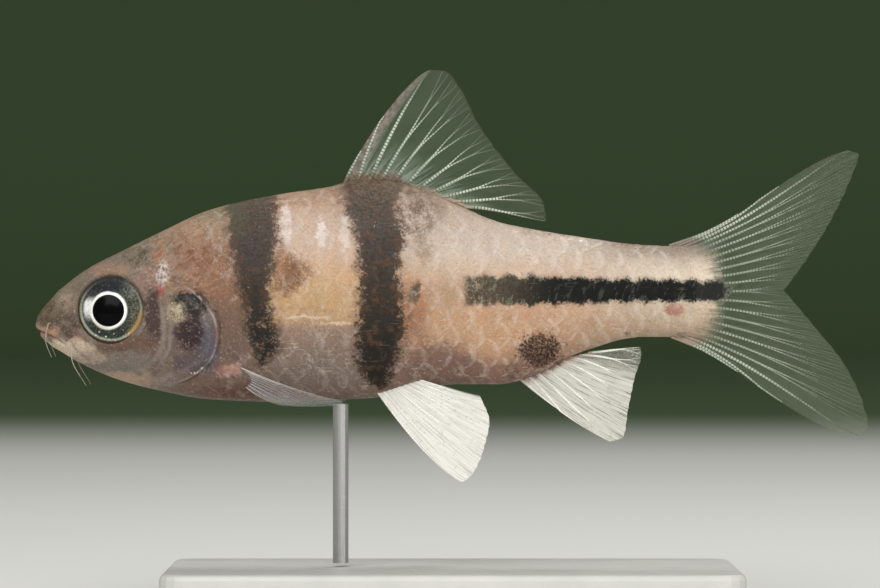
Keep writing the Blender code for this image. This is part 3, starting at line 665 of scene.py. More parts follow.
# patches that show only as mottling
MOTTLES = (
    (1.0, -1.6, 1.3, 1.3, (74, 60, 42), 0.9),
    (2.8, -2.4, 1.4, 1.1, (72, 54, 44), 0.9),
    (3.6, -0.2, 1.0, 1.2, (100, 88, 72), 0.7),
    (8.1, 2.8, 1.5, 0.8, (66, 62, 48), 0.9),
    (9.6, 3.0, 0.6, 1.4, (164, 100, 66), 0.8),
    (9.75, 0.45, 0.40, 0.62, (176, 60, 60), 0.9),
    (9.9, 1.6, 0.55, 1.1, (206, 198, 194), 0.75),
    (10.9, -1.35, 0.80, 0.85, (208, 196, 166), 0.6),
    (12.6, 3.0, 2.4, 2.2, (120, 74, 50), 0.9),
    (13.2, 4.9, 2.2, 1.2, (168, 142, 116), 0.5),
    (14.9, -5.8, 1.1, 0.7, (160, 100, 88), 0.55),
    (15.5, -7.3, 2.8, 0.9, (92, 56, 46), 0.7),
    (18.4, 4.6, 0.8, 3.2, (112, 84, 64), 0.8),
    (19.0, 2.4, 0.8, 1.4, (178, 124, 78), 0.5),
    (20.2, 1.6, 1.3, 1.2, (112, 72, 46), 0.9),
    (17.9, 3.6, 0.9, 3.4, (112, 72, 44), 0.7),
    (21.0, 7.4, 3.2, 0.9, (150, 116, 90), 0.7),
    (28.9, 6.3, 2.5, 2.5, (104, 84, 68), 0.9),
    (29.9, 3.2, 0.8, 1.8, (148, 116, 94), 0.7),
    (27.4, 8.8, 4.2, 1.1, (92, 74, 58), 0.9),
    (29.0, 0.1, 0.6, 0.8, (82, 72, 54), 0.9),
    (29.4, -2.6, 1.2, 2.2, (126, 92, 76), 0.6),
    (31.5, -0.6, 1.6, 1.2, (168, 140, 106), 0.6),
    (36.6, -5.9, 0.5, 0.8, (80, 58, 50), 0.8),
    (40.5, 4.9, 3.6, 0.5, (124, 98, 82), 0.9),
    (46.0, 4.0, 3.2, 0.45, (124, 98, 82), 0.9),
    (49.8, 3.8, 2.0, 0.4, (120, 100, 88), 0.9),
    (45.3, -3.0, 0.5, 0.3, (104, 90, 76), 0.8),
    (49.3, -3.2, 0.6, 0.3, (104, 90, 76), 0.7),
    (52.4, 4.6, 2.4, 1.0, (84, 78, 78), 0.95),
)
TAIL_PATCHES, TAIL_MOTTLES = BODY_PATCHES[-1:], MOTTLES[-2:]


def patched(place, colour, patches, rough, grain=1.0):
    """Lays patches of colour over a colour, each an ellipse with broken edges in the side view."""
    for x, z, wide, high, shade, strength in patches:
        away = from_middle(place, x, z, wide, high).length()
        colour = blend((away + rough).step(1.3, 0.6) * grain * strength, colour, rgb(*shade))
    return colour


# %% [markdown]
# A bar has its own middle and width at each level, read off two smooth curves, and a ragged edge, because
# it is made of single dark cells. Towards the back it turns from black to brown.

# %% Bars
# level, middle and half width of each bar
BAR_ONE = (
    (-5.8, 17.5, 0.0), (-5.2, 17.5, 0.5), (-4.4, 17.7, 1.0), (-2.9, 17.4, 1.35), (-1.2, 17.15, 1.1),
    (0.75, 16.85, 1.27), (2.95, 16.8, 1.6), (5.2, 16.65, 1.9), (7.1, 16.5, 1.95), (9.0, 16.4, 2.0),
)
BAR_TWO = (
    (-7.3, 26.5, 0.0), (-6.8, 26.45, 0.8), (-5.9, 26.2, 1.30), (-4.4, 26.3, 1.65), (-2.2, 26.55, 1.85),
    (0.3, 26.45, 1.55), (4.5, 26.4, 1.8), (6.6, 25.75, 2.0), (7.6, 25.8, 2.2), (9.5, 26.4, 3.0),
)
BARS_TOP = 9.5
INSIDE_BARS = ((-7.0, (24, 22, 18)), (-3.5, (34, 30, 25)), (0.3, (54, 46, 38)), (4.0, (68, 59, 54)),
               (6.5, (88, 77, 68)), (8.8, (118, 102, 86)))


def inside_bar(x, z, table, ragged):
    """How far inside a bar this place is, in millimetres."""
    middle = z.curve([(level, place_x) for level, place_x, _ in table], LOW, BARS_TOP)
    half = z.curve([(level, width) for level, _, width in table], LOW, BARS_TOP)
    return half - abs(x - middle) + ragged


def with_bars(colour, x, z, middling, fine):
    """The colour with both bars laid on it, and how much of a bar lies at each place."""
    ragged = (middling - 0.5) * 2.4 + (fine - 0.5) * 2.2
    one, two = inside_bar(x, z, BAR_ONE, ragged), inside_bar(x, z, BAR_TWO, ragged)
    reach = one.larger(two)
    holes = (middling * 0.5 + fine * 0.5).step(0.50, 0.60) * (1 - x.step(19.0, 21.0)) * z.step(0.0, -3.0)
    bars = reach.step(-0.45, 0.45) * (0.99 - holes * 0.5)
    inside = z.ramp(INSIDE_BARS, LOW, HIGH)
    inside = blend(fine.step(0.56, 0.40) * 0.5, inside, rgb(20, 19, 17))
    inside = blend(middling.step(0.48, 0.66) * 0.6, inside, rgb(96, 66, 44))
    inside = blend((1 - x.step(15.4, 16.8)) * z.step(3.5, 5.5) * 0.5, inside, rgb(84, 86, 64))
    colour = blend(reach.step(-1.1, 0.2) * 0.40, colour, rgb(132, 102, 80))
    return blend(bars, colour, inside), bars


# %% [markdown]
# The stripe is the shaft of the spanner. Its edge steps in and out with the rows of scales, it narrows a
# little towards the tail, and pale flecks show through its front part. The spot is a loose cluster of
# dark cells.

# %% Stripe and spot
STRIPE_FROM, STRIPE_TO, STRIPE_LEVEL = 32.8, 53.8, 0.26
STRIPE_HALF, STRIPE_TAPER = 1.22, 0.32
STRIPE_INK = ((33.0, (66, 63, 46)), (36.0, (42, 43, 32)), (39.0, (16, 20, 13)), (43.0, (5, 8, 4)))
# place, half width and half height
SPOT = (38.7, -4.35, 1.5, 1.15)
SCALE_PITCH = 1.77


def with_stripe(colour, place, x, z, middling, fine):
    """The colour with the stripe laid on it, and how much of the stripe lies at each place."""
    tooth = abs((x / SCALE_PITCH).fraction() - 0.5) * 0.5
    half = STRIPE_HALF - x.step(33.0, 54.0) * STRIPE_TAPER
    reach = half - abs(z - STRIPE_LEVEL) - tooth + (middling - 0.5) * 0.8 + (fine - 0.5) * 1.1
    tip = x + (middling - 0.5) * 3.0 + (fine - 0.5) * 1.5
    ends = x.step(STRIPE_FROM - 0.2, STRIPE_FROM + 0.5) * tip.step(STRIPE_TO + 0.7, STRIPE_TO - 0.9)
    stripe = reach.step(-0.25, 0.20) * ends * (0.88 + x.step(34.0, 40.0) * 0.12)
    stripe = stripe * (1 - (1 - x.step(33.2, 35.4)) * fine.step(0.52, 0.62) * 0.45)
    ink = x.ramp(STRIPE_INK, 30, 50)
    ink = blend(fine.step(0.55, 0.42) * 0.6, ink, rgb(4, 6, 3))
    flecks = noise(place.turned(0.3, (1.0, 1.0, 0.35)), 3.0, 3.0, 0.6).step(0.54, 0.66)
    ink = blend(flecks * (0.75 - x.step(34.0, 42.0) * 0.50), ink, rgb(112, 120, 100))
    return blend(stripe, colour, ink), stripe


def with_spot(colour, warped, rough, speckle, fine):
    """The colour with the spot laid on it, and how much of the spot lies at each place."""
    spot = (from_middle(warped, *SPOT).length() + rough * 0.9).step(1.40, 0.80)
    stipple = (speckle * 0.5 + fine * 0.5).step(0.58, 0.46)
    return blend(spot * (0.50 + stipple * 0.48), colour, rgb(46, 30, 28)), spot


# %% [markdown]
# Everywhere the colour is broken up by single pigment cells: dark freckles, most of them on the back and
# snout, and fine light and dark grain. Then all parts of the markings are put together.

# %% All markings
def with_grain(colour, place, x, z, noises, light):
    """The colour broken up by freckles and grain; light is 1 where no dark mark lies."""
    middling, fine, speckle = noises
    freckles = cells(place, 5.5).step(0.42, 0.14) * middling.step(0.44, 0.62)
    freckled = 0.14 + z.step(3.0, 9.0) * 0.30 + x.step(9.0, 4.0) * 0.36
    colour = blend(freckles * freckled, colour, rgb(66, 54, 42))
    on_head = 1 + x.step(16.0, 12.0) * 0.3
    colour = shaded(colour, 1 + ((speckle - 0.5) * 0.46 + (fine - 0.5) * 0.50) * on_head)
    colour = blend(fine.step(0.56, 0.74) * 0.30 * light, colour, rgb(236, 220, 202))
    return blend(fine.step(0.44, 0.24) * 0.30, colour, rgb(74, 54, 42))


def markings(place, patches=HEAD_PATCHES + BODY_PATCHES, mottles=MOTTLES):
    """The colour of the fish at a place, how dark its marks lie there, x, z, and the two noises used most."""
    x, _, z = place.split()
    broad = noise(place, 0.45, 3.0)
    middling = noise(place, 1.5, 4.0, 0.62)
    fine = noise(place, 5.0, 4.0, 0.65)
    push = noise(place, 1.3, 6.0, 0.72, out="Color")
    shifted = place.node("VectorMath", {"operation": "MULTIPLY_ADD"}, {0: push, 1: (1.8,) * 3, 2: place})
    warped = place.node("VectorMath", {"operation": "SUBTRACT"}, {0: shifted, 1: (0.9,) * 3})
    rough = (middling - 0.5) * 1.2 + (fine - 0.5) * 1.6
    softer = (middling - 0.5) * 1.2 + (fine - 0.5) * 0.7
    colour = ground(x, z, broad - 0.5)
    colour = patched(warped, colour, patches, softer)
    colour = patched(warped, colour, mottles, rough, (middling * 0.45 + fine * 0.55).step(0.43, 0.56))
    colour, bars = with_bars(colour, x, z, middling, fine)
    colour, stripe = with_stripe(colour, place, x, z, middling, fine)
    speckle = noise(place, 9.0, 3.0, 0.7)
    colour, spot = with_spot(colour, warped, rough, speckle, fine)
    dark = bars.larger(stripe.larger(spot))
    colour = with_grain(colour, place, x, z, (middling, fine, speckle), 1 - dark)
    return colour, dark, x, z, middling, fine


# %% [markdown]
# The finish of the skin is wet and soft: the colour is broken up by tiny pigment cells, a clear layer of
# slime shines over it, and pearly patches shine more than the rest. Roughness, metallic and bump follow
# the same noise.

# %% Skin material: the gill cover
GILL_PEARL = ((12.9, -4.2, 1.4, 2.4), (10.7, -1.2, 0.9, 0.9), (9.9, 1.7, 0.6, 0.9), (7.2, -5.5, 2.4, 1.0))


def pearl(place, patches):
    """How pearly the skin is at a place."""
    total = 0.0
    for x, z, wide, high in patches:
        total = from_middle(place, x, z, wide, high).length().step(1.3, 0.3) + total
    return total


skin_material, shader, tree = new_material("skin")
place = fish_place(tree)
colour, dark, x, z, middling, fine = markings(place)
light = 1 - dark
shine = pearl(place, GILL_PEARL)
gill_edge, cheek_edge, gape, jaw_fold = map(tree.attribute, ("gill_edge", "cheek_edge", "gape", "jaw_fold"))
inner = 0.0 - gill_edge
breaks = noise(place, 1.8, 4.0, 0.65).step(0.38, 0.58)
on_cover = x.step(7.5, 9.5) * z.step(-7.4, -6.2)
on_rim = on_cover * (1 - z.step(-1.6, 0.4) * x.step(12.6, 11.2))
colour = blend(inner.near(0.14, 0.16) * on_rim * (0.10 + breaks * 0.65), colour, rgb(176, 168, 168))
colour = blend(inner.near(0.80, 0.35) * on_rim * breaks * 0.25, colour, rgb(150, 144, 148))
# Painted shadow: a dark band in the slit just behind the gill cover's rear edge, where the cover overhangs it.
colour = blend(gill_edge.near(0.12, 0.14) * on_rim * (0.25 + breaks * 0.35), colour, rgb(60, 46, 42))
veins = noise(place.turned(0.7, (0.5, 1.0, 2.4)), 1.6, 4.0, 0.6).step(0.56, 0.68)
veins = veins * inner.step(0.2, 0.6) * inner.step(2.6, 1.4) * on_rim
colour = blend(veins * 0.26, colour, rgb(160, 156, 164))
# Painted glints: near-white points painted on the low rim of the gill cover and in two pearly patches.
low_rim = z.step(-4.6, -5.8) * x.step(9.4, 10.6)
rim_glints = cells(place, 2.8).step(0.26, 0.08) * inner.near(0.2, 0.45) * low_rim
pearl_glints = cells(place, 3.0).step(0.22, 0.08) * pearl(place, GILL_PEARL[1:3])
painted_glints = rim_glints + pearl_glints * 0.8
colour = blend(painted_glints.math("MINIMUM", painted_glints, 1.0), colour, rgb(252, 248, 236))
print("pearly patches:", len(GILL_PEARL))

# %% [markdown]
# The lines of the head get their colour too: pale ridges on the cheek, and painted shade as a dark line in the
# cleft between the lips and along the fold behind the mouth. The nape is crossed by a faint pale net, where
# the skin over the skull is thin.

# %% Skin material: cheek, mouth and nape
on_cheek = z.step(-6.4, -5.0) * z.step(0.2, -1.4)
ridges = (0.3 + breaks * 0.4) * on_cheek
colour = blend(cheek_edge.near(0.0, 0.22) * ridges, colour, rgb(146, 130, 124))
colour = blend(cheek_edge.near(-0.56, 0.30) * ridges, colour, rgb(150, 136, 130))
# Painted shade: a dark line in the sunk cleft between the lips.
colour = blend(gape.near(0.0, 0.09) * x.step(1.7, 0.9) * 0.40, colour, rgb(96, 66, 54))
colour = blend(gape.near(0.30, 0.26) * x.step(2.2, 1.2) * 0.40, colour, rgb(188, 148, 122))
# Painted shade: a darker line along the sunk fold behind the mouth.
colour = blend(jaw_fold.near(0.0, 0.14) * 0.30, colour, rgb(96, 74, 62))
scurf = cells(place, 3.2).step(0.20, 0.06) * noise(place, 0.9, 3.0).step(0.46, 0.60)
on_nape = x.step(6.0, 8.5) * z.step(-0.5, 1.0)
crazing = noise(place.turned(-0.6, (0.8, 1.0, 1.5)), 1.1, 4.0, 0.62).near(0.5, 0.09)
colour = blend(crazing * on_nape * light * 0.22, colour, rgb(206, 176, 150))
colour = blend(scurf * (0.08 + on_nape * 0.42), colour, rgb(226, 214, 204))
pores = cells(place, 6.5).step(0.30, 0.10)
skin_height = fine * 0.8 + noise(place, 14.0, 2.0) * 0.4 + middling * 0.8 - pores * 0.25
plug(shader, Base_Color=colour, Roughness=0.40 + middling * 0.24 - shine * 0.12, Metallic=shine * 0.22,
     Specular_IOR_Level=0.20, Coat_Weight=0.06, Coat_Roughness=0.16, Normal=bumped(tree, skin_height, 0.09),
     Subsurface_Weight=0.12, Subsurface_Radius=(0.6, 0.3, 0.2), Subsurface_Scale=MM)
skin.data.materials.append(skin_material)
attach(skin, "root")
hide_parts("head", "jaw", "gill_cover_left", "gill_cover_right", "torso", "tail_stem")
print("skin nodes:", len(skin_material.node_tree.nodes))

# %% [markdown]
# Barbs have large thin scales in slanting rows, like roof tiles: about two dozen along the flank, each
# row shifted by half a scale. Each scale is a thin closed plate, rounded behind, whose front sinks into
# the skin and whose rear edge lies over the next one. The rows follow the lateral line at equal distances
# round the body, so they run out at the back and belly as the body narrows, as on the fish. One plate of
# few faces is laid out again and again on the surface itself, so every plate bends with the body.

# %% The surface as rows and distances
STATIONS = np.linspace(9.0, TRUNK_LENGTH - 0.05, 220)
ARC_SHARES = np.linspace(-1, 1, 121)
HALF_TURNS = 180


def unit(vectors):
    """The vectors at a length of 1."""
    return vectors / np.maximum(np.linalg.norm(vectors, axis=-1, keepdims=True), 1e-9)


def arc_tables():
    """Per station: arc length from the widest line to back and belly, and turns at equal arc shares."""
    turns = np.linspace(-math.pi / 2, math.pi / 2, 2 * HALF_TURNS + 1)
    up_length, down_length, turn_rows = [], [], []
    for station in STATIONS:
        arc = run_along(trunk_points(np.full(turns.shape, station), turns))
        arc -= arc[HALF_TURNS]
        up_length.append(arc[-1])
        down_length.append(-arc[0])
        share = np.where(arc > 0, arc / arc[-1], -arc / arc[0])
        turn_rows.append(np.interp(ARC_SHARES, share, turns))
    return np.array(up_length), np.array(down_length), np.array(turn_rows)


UP_LENGTH, DOWN_LENGTH, TURNS = arc_tables()
half_girth = np.interp(25, STATIONS, UP_LENGTH + DOWN_LENGTH)
print("half girth at the dorsal fin:", round(float(half_girth), 1), "mm")


def flank(x, arc, side, lift):
    """Points at x and at an arc length above the widest line, on one side, this far out of the surface."""
    up, down = np.interp(x, STATIONS, UP_LENGTH), np.interp(x, STATIONS, DOWN_LENGTH)
    over = (arc > up) | (arc < -down)
    arc = np.where(arc > up, 2 * up - arc, np.where(arc < -down, -2 * down - arc, arc))
    share = np.clip(np.where(arc > 0, arc / up, arc / down), -1, 1)
    row = np.clip((x - STATIONS[0]) / (STATIONS[1] - STATIONS[0]), 0, len(STATIONS) - 1.001)
    column = (share + 1) / 2 * (len(ARC_SHARES) - 1.001)
    i, j = row.astype(int), column.astype(int)
    di, dj = row - i, column - j
    turn = (TURNS[i, j] * (1 - di) + TURNS[i + 1, j] * di) * (1 - dj)
    turn += (TURNS[i, j + 1] * (1 - di) + TURNS[i + 1, j + 1] * di) * dj
    point = trunk_points(x, turn)
    along = trunk_points(x + 0.05, turn) - point
    around = trunk_points(x, turn + 0.02) - trunk_points(x, turn - 0.02)
    outward = unit(np.cross(around, along))
    outward *= np.where(outward[..., 1:2] < 0, -1, 1)
    point = point + outward * np.asarray(lift)[..., None]
    point[..., 1] *= np.where(over, -side, side)
    return point, turn


# %% One scale and its copies
ROW_PITCH = track((9, 24, 36, 52), (1.50, 1.58, 1.42, 1.15))
SCALE_LENGTH, SCALE_HALF = 2.75, 1.12
SCALE_ROWS, SCALE_COLUMNS = 6, 7
SCALE_SLANT, SCALE_WALL = 0.042, 0.035
FIRST_SCALE, LAST_SCALE = 9.0, 48.9
MOST_ROWS, MOST_COLUMNS = 9, 26
PATCH_SIZE = 0.003
SCALE_SMOOTHING = 40
SCALE_FRONT = track((-9.0, -7.2, -5.7, -3.2, -0.6, 1.1, 3.5, 6.0, 9.0),
                    (11.6, 12.4, 13.6, 14.6, 13.7, 11.6, 9.8, 9.2, 9.0))
along_scale, across_scale = np.meshgrid(
    np.linspace(0, 1, SCALE_ROWS), np.linspace(-1, 1, SCALE_COLUMNS), indexing="ij"
)
RIM = ([i * SCALE_COLUMNS for i in range(SCALE_ROWS)] +
       [(SCALE_ROWS - 1) * SCALE_COLUMNS + j for j in range(1, SCALE_COLUMNS)] +
       [i * SCALE_COLUMNS + SCALE_COLUMNS - 1 for i in range(SCALE_ROWS - 2, -1, -1)] +
       [j for j in range(SCALE_COLUMNS - 2, 0, -1)])
random = np.random.default_rng(7)


def scale_plate(x, row, side, grow):
    """Points of one plate: its upper face and, a little lower, its rim again."""
    pitch = ROW_PITCH(x)
    rear = 0.44 + 0.56 * (1 - (0.97 * np.abs(across_scale)) ** 1.7) ** 0.62
    rear = rear * (1 + 0.03 * np.sin(across_scale * 5 + 6.28 * random.random()))
    place_x = x + SCALE_LENGTH * grow * along_scale * rear
    place_x = np.minimum(place_x, TRUNK_LENGTH - 0.15)
    half = pitch * SCALE_HALF * grow * (0.80 + 0.20 * np.sin(math.pi * along_scale))
    arc = row * ROW_PITCH(place_x) + across_scale * half
    lift = -COAT_DEPTH - 0.02 + SCALE_SLANT * along_scale * (1 - 0.35 * across_scale**2)
    top, _ = flank(place_x.ravel(), arc.ravel(), side, lift.ravel())
    low, _ = flank(place_x.ravel()[RIM], arc.ravel()[RIM], side, lift.ravel()[RIM] - SCALE_WALL)
    return np.concatenate([top, low])


def scale_faces(first):
    """The plate's faces: grid above, walls round the rim, and one face below."""
    count = SCALE_ROWS * SCALE_COLUMNS
    faces = []
    for i in range(SCALE_ROWS - 1):
        for j in range(SCALE_COLUMNS - 1):
            a = first + i * SCALE_COLUMNS + j
            faces.append((a, a + 1, a + SCALE_COLUMNS + 1, a + SCALE_COLUMNS))
    for k in range(len(RIM)):
        after = (k + 1) % len(RIM)
        faces.append((first + RIM[k], first + RIM[after], first + count + after, first + count + k))
    faces.append(tuple(first + count + k for k in range(len(RIM))))
    return faces


def new_piece(name, points, faces):
    """A new object from points in the fish's own millimetres, and its faces."""
    mesh = bpy.data.meshes.new(name)
    mesh.from_pydata([tuple(point) for point in to_model(points)], [], faces)
    obj = bpy.data.objects.new(name, mesh)
    bpy.context.scene.collection.objects.link(obj)
    return obj


def scale_coat(name, side):
    """All scales of one flank as one object, with the maps that its finish reads."""
    points, faces, bake, own, tone = [], [], [], [], []
    for row in range(-MOST_ROWS, MOST_ROWS + 1):
        shift = SCALE_PITCH / 2 if row % 2 else 0.0
        for step in range(MOST_COLUMNS):
            x = FIRST_SCALE + shift + step * SCALE_PITCH
            arc = row * float(ROW_PITCH(x))
            up, down = np.interp(x, STATIONS, UP_LENGTH), np.interp(x, STATIONS, DOWN_LENGTH)
            if arc > up + 0.2 or arc < -down - 0.2 or x > LAST_SCALE:
                continue
            middle_arc = np.array([np.clip(arc, -down, up)])
            centre, turn = flank(np.array([x + 1.2]), middle_arc, side, np.array([0.0]))
            if x + 1.0 < SCALE_FRONT(centre[0, 2]):
                continue
            grow = 1 + 0.05 * random.standard_normal()
            plate = scale_plate(x + 0.06 * random.standard_normal(), row, side, grow)
            faces += scale_faces(len(points))
            points += list(plate)
            root = np.array([x / TRUNK_LENGTH, 0.5 + side * (0.25 + turn[0] / math.pi * 0.4)])
            spread = np.stack([along_scale.ravel(), (across_scale.ravel() + 1) / 2], axis=1)
            spread = np.concatenate([spread, spread[RIM]])
            bake += list(root + (spread - 0.5) * PATCH_SIZE)
            own += list(spread)
            tone += [random.random()] * len(plate)
    obj = new_piece(name, points, faces)
    mesh = obj.data
    corner = np.array([loop.vertex_index for loop in mesh.loops])
    for label, values in (("OFBake", bake), ("scale_map", own)):
        layer = mesh.uv_layers.new(name=label)
        layer.data.foreach_set("uv", np.array(values)[corner].ravel())
    mesh.attributes.new("tone", "FLOAT", "POINT").data.foreach_set("value", tone)
    turn_outwards(obj)
    make_active(obj)
    bpy.ops.object.shade_smooth_by_angle(angle=math.radians(SCALE_SMOOTHING))
    print(name, "has", len(points) // (SCALE_ROWS * SCALE_COLUMNS + len(RIM)), "scales")
    return obj


scales_left = scale_coat("scales_left", -1)
scales_right = scale_coat("scales_right", 1)

# %% [markdown]
# A scale is clear, so it shows the skin's markings. Along its rear edge, where it catches the light, a pale
# line is painted as a painted highlight; those lines make the net that shows on the pale parts of the flank.
# Each scale differs a little in tone, its front is painted a little darker as shade under the scale before it,
# fine growth lines run round it, and here and there one has a painted glint.

# %% Scale material
scale_material, shader, tree = new_material("scales")
place = fish_place(tree)
colour, dark, x, z, middling, fine = markings(place)
own_map = tree.node("UVMap", {"uv_map": "scale_map"})
own_along = own_map.split()[0]
tone = tree.attribute("tone")
worn = noise(place, 1.1, 4.0, 0.7)
edge_place = own_along + (noise(place, 2.2, 4.0, 0.75) - 0.5) * 0.34
# Painted highlight: a pale line along each scale's rear edge, where it catches the light. It is kept off the
# dark marks.
edge_highlight = edge_place.near(0.92, 0.16)
pale = z.step(1.0, 3.0) * 0.05 + 0.10 + x.step(29.0, 36.0) * 0.12
light = 1 - dark
colour = shaded(colour, 0.94 + tone * 0.10)
colour = blend(edge_highlight * pale * light * (0.25 + worn.step(0.40, 0.62) * 1.1), colour, rgb(240, 226, 214))
fan = noise(tree.node("Mapping", {}, {"Vector": own_map, "Scale": (1.4, 13.0, 1.0)}), 1.6, 3.0, 0.6)
colour = blend(fan.step(0.56, 0.74) * 0.12 * light, colour, rgb(240, 226, 210))
# Painted shade: the front of each scale, which lies under the scale before it, is made a little darker.
colour = blend(own_along.step(0.60, 0.40) * 0.05, colour, rgb(100, 74, 58))
net_place = place.turned(0.95, (0.55, 1.0, 1.6))
cross = noise(net_place, 1.5, 4.0, 0.66).near(0.5, 0.035) * noise(place, 0.8, 2.0).step(0.44, 0.58)
colour = blend(cross * 0.26 * light, colour, rgb(232, 216, 204))
hairs = noise(stretched(place, 0.20, 1.0, 3.6), 2.8, 2.0, 0.4).step(0.65, 0.72) * x.step(16.0, 20.0)
colour = blend(hairs * 0.30 * (1 - dark * 0.75), colour, rgb(244, 226, 200))
scratches = noise(place.turned(0.9, (0.5, 1.0, 2.6)), 2.4, 3.0, 0.6).step(0.64, 0.72) * z.step(2.5, 5.0)
colour = blend(scratches * (0.34 - dark * 0.18), colour, rgb(206, 196, 190))
# Painted glints: a few scales get a near-white spot painted into their colour, with a little metallic.
chosen = cells(place, 0.62, out="Color").split()[0].step(0.84, 0.85)
glint = cells(place, 0.62).step(0.14, 0.05) * chosen * z.step(0.5, 2.0)
colour = blend(glint, colour, rgb(255, 252, 246))
scale_height = fan * 0.4 + fine * 0.8 + middling * 0.8 + hairs * 0.3
plug(shader, Base_Color=colour, Roughness=0.42 + middling * 0.24, Metallic=light * 0.05 + glint * 0.4,
     Specular_IOR_Level=0.18, Coat_Weight=0.04, Coat_Roughness=0.20, Subsurface_Weight=0.12,
     Subsurface_Radius=(0.6, 0.3, 0.2), Subsurface_Scale=MM, Normal=bumped(tree, scale_height, 0.07))
for obj in (scales_left, scales_right):
    obj.data.materials.append(scale_material)
    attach(obj, "root")
print("scale nodes:", len(scale_material.node_tree.nodes))

# %% [markdown]
# A fish's eye has no lids. A dark pupil with a little bulge, where the lens comes through, sits in a
# bright silver ring, and round it the iris is blue-grey, darker above, with a pale outer edge. The eye is
# a sphere reshaped to a shallow dome with those rings raised in it, then set in the socket, looking
# outwards and a little ahead.

# %% Eyes: the form
EYE_CURVE, EYE_DEPTH = 4.6, 2.3
PUPIL_X, PUPIL_Z, PUPIL_RADIUS = 5.72, -1.27, 1.22
SILVER_RADIUS = 1.43
LENS_RISE, RING_RISE, TROUGH_DEPTH = 0.05, 0.05, 0.06
EYE_LOOKS_AHEAD, EYE_LOOKS_UP = math.radians(7), math.radians(5)


def eye_height(radius):
    """Height of the eye's front above its apex plane at this distance from its axis."""
    dome = np.sqrt(EYE_CURVE**2 - radius**2) - EYE_CURVE
    lens = LENS_RISE * smooth_step(PUPIL_RADIUS, PUPIL_RADIUS * 0.3, radius)
    ring = RING_RISE * bump(radius - (PUPIL_RADIUS + SILVER_RADIUS) / 2, 0.14)
    trough = TROUGH_DEPTH * bump(radius - 2.0, 0.35)
    return dome + lens + ring - trough


def eye(name, side):
    """One eye from a sphere: its front half becomes the dome, its back half the bowl in the socket."""
    bpy.ops.mesh.primitive_uv_sphere_add(segments=96, ring_count=64, radius=1)
    obj = bpy.context.object
    obj.name = name
    ball = read_points(obj)
    polar = np.arccos(np.clip(ball[:, 2], -1, 1))
    turn = np.arctan2(ball[:, 1], ball[:, 0])
    front = polar < math.pi / 2
    radius = np.where(front, EYE_RADIUS * polar / (math.pi / 2), EYE_RADIUS * np.sin(polar) ** 0.8)
    bowl = eye_height(EYE_RADIUS) + EYE_DEPTH * 0.6 * np.cos(polar)
    height = np.where(front, eye_height(radius), bowl)
    points = np.stack([radius * np.cos(turn), radius * np.sin(turn), height], axis=1)
    look = Matrix.Rotation(EYE_LOOKS_AHEAD * side, 3, "Z")
    look = look @ Matrix.Rotation(-(math.pi / 2 - EYE_LOOKS_UP) * side, 3, "X")
    points = points @ np.array(look).T + (EYE_X, side * EYE_APEX, EYE_Z)
    write_points(obj, to_model(points))
    turn_outwards(obj)
    smooth(obj)
    print(name, "faces:", len(obj.data.polygons))
    return obj


eyes = {"eye_left": eye("eye_ball_left", -1), "eye_right": eye("eye_ball_right", 1)}

# %% [markdown]
# The colours of the eye are painted by distance from the pupil in the side view, which holds for both
# eyes. Streaks and specks break them up, and the bright crescent lies on the front of the iris, as in the
# photograph.

# %% Eyes: the finish
eye_material, shader, tree = new_material("eye")
place = fish_place(tree)


def beside(place, x, z):
    """Distance in the side view from a place, and how far behind it and above it a point lies."""
    moved = from_middle(place, x, z)
    behind, _, above = moved.split()
    return moved.length(), behind, above


pupil_away, behind, above = beside(place, PUPIL_X, PUPIL_Z)
eye_away, _, eye_above = beside(place, EYE_X + 0.05, EYE_Z - 0.05)
streaks = noise(stretched(place, 1.6, 0.2, 1.6), 4.5, 4.0, 0.6)
specks = noise(place, 7.0, 4.0, 0.7)
wobble = (noise(place, 1.6, 3.0) - 0.5) * 0.30
iris = blend(streaks.step(0.35, 0.70), rgb(36, 42, 40), rgb(84, 87, 76))
iris = blend(eye_above.step(0.9, 1.7) * 0.85, iris, rgb(34, 34, 42))
iris = blend(eye_above.step(-1.0, -1.7) * specks.step(0.40, 0.55) * 0.7, iris, rgb(34, 44, 42))
iris = blend(behind.step(1.2, 1.9) * specks.step(0.45, 0.60) * 0.5, iris, rgb(140, 134, 108))
iris = blend(specks.step(0.58, 0.74) * 0.5, iris, rgb(160, 166, 156))
pale_ring = (eye_away + wobble * 0.4).near(2.33, 0.17) * (0.25 + streaks * 0.9) * eye_above.step(2.6, -0.8)
iris = blend(pale_ring, iris, rgb(186, 186, 166))
# Painted glints: near-white points on the lower outer part of the iris.
low_glints = cells(place, 2.6).step(0.24, 0.10) * eye_away.near(2.15, 0.5) * eye_above.step(-1.0, -1.8)
iris = blend(low_glints, iris, rgb(244, 240, 224))
iris = blend(eye_away.step(2.38, 2.52) * 0.9, iris, rgb(62, 52, 44))
gold_away = beside(place, 7.95, -2.35)[0]
gold = gold_away.step(1.5, 0.5) * eye_away.near(2.33, 0.34) * streaks.step(0.15, 0.50)
iris = blend(gold * 0.95, iris, rgb(176, 142, 84))
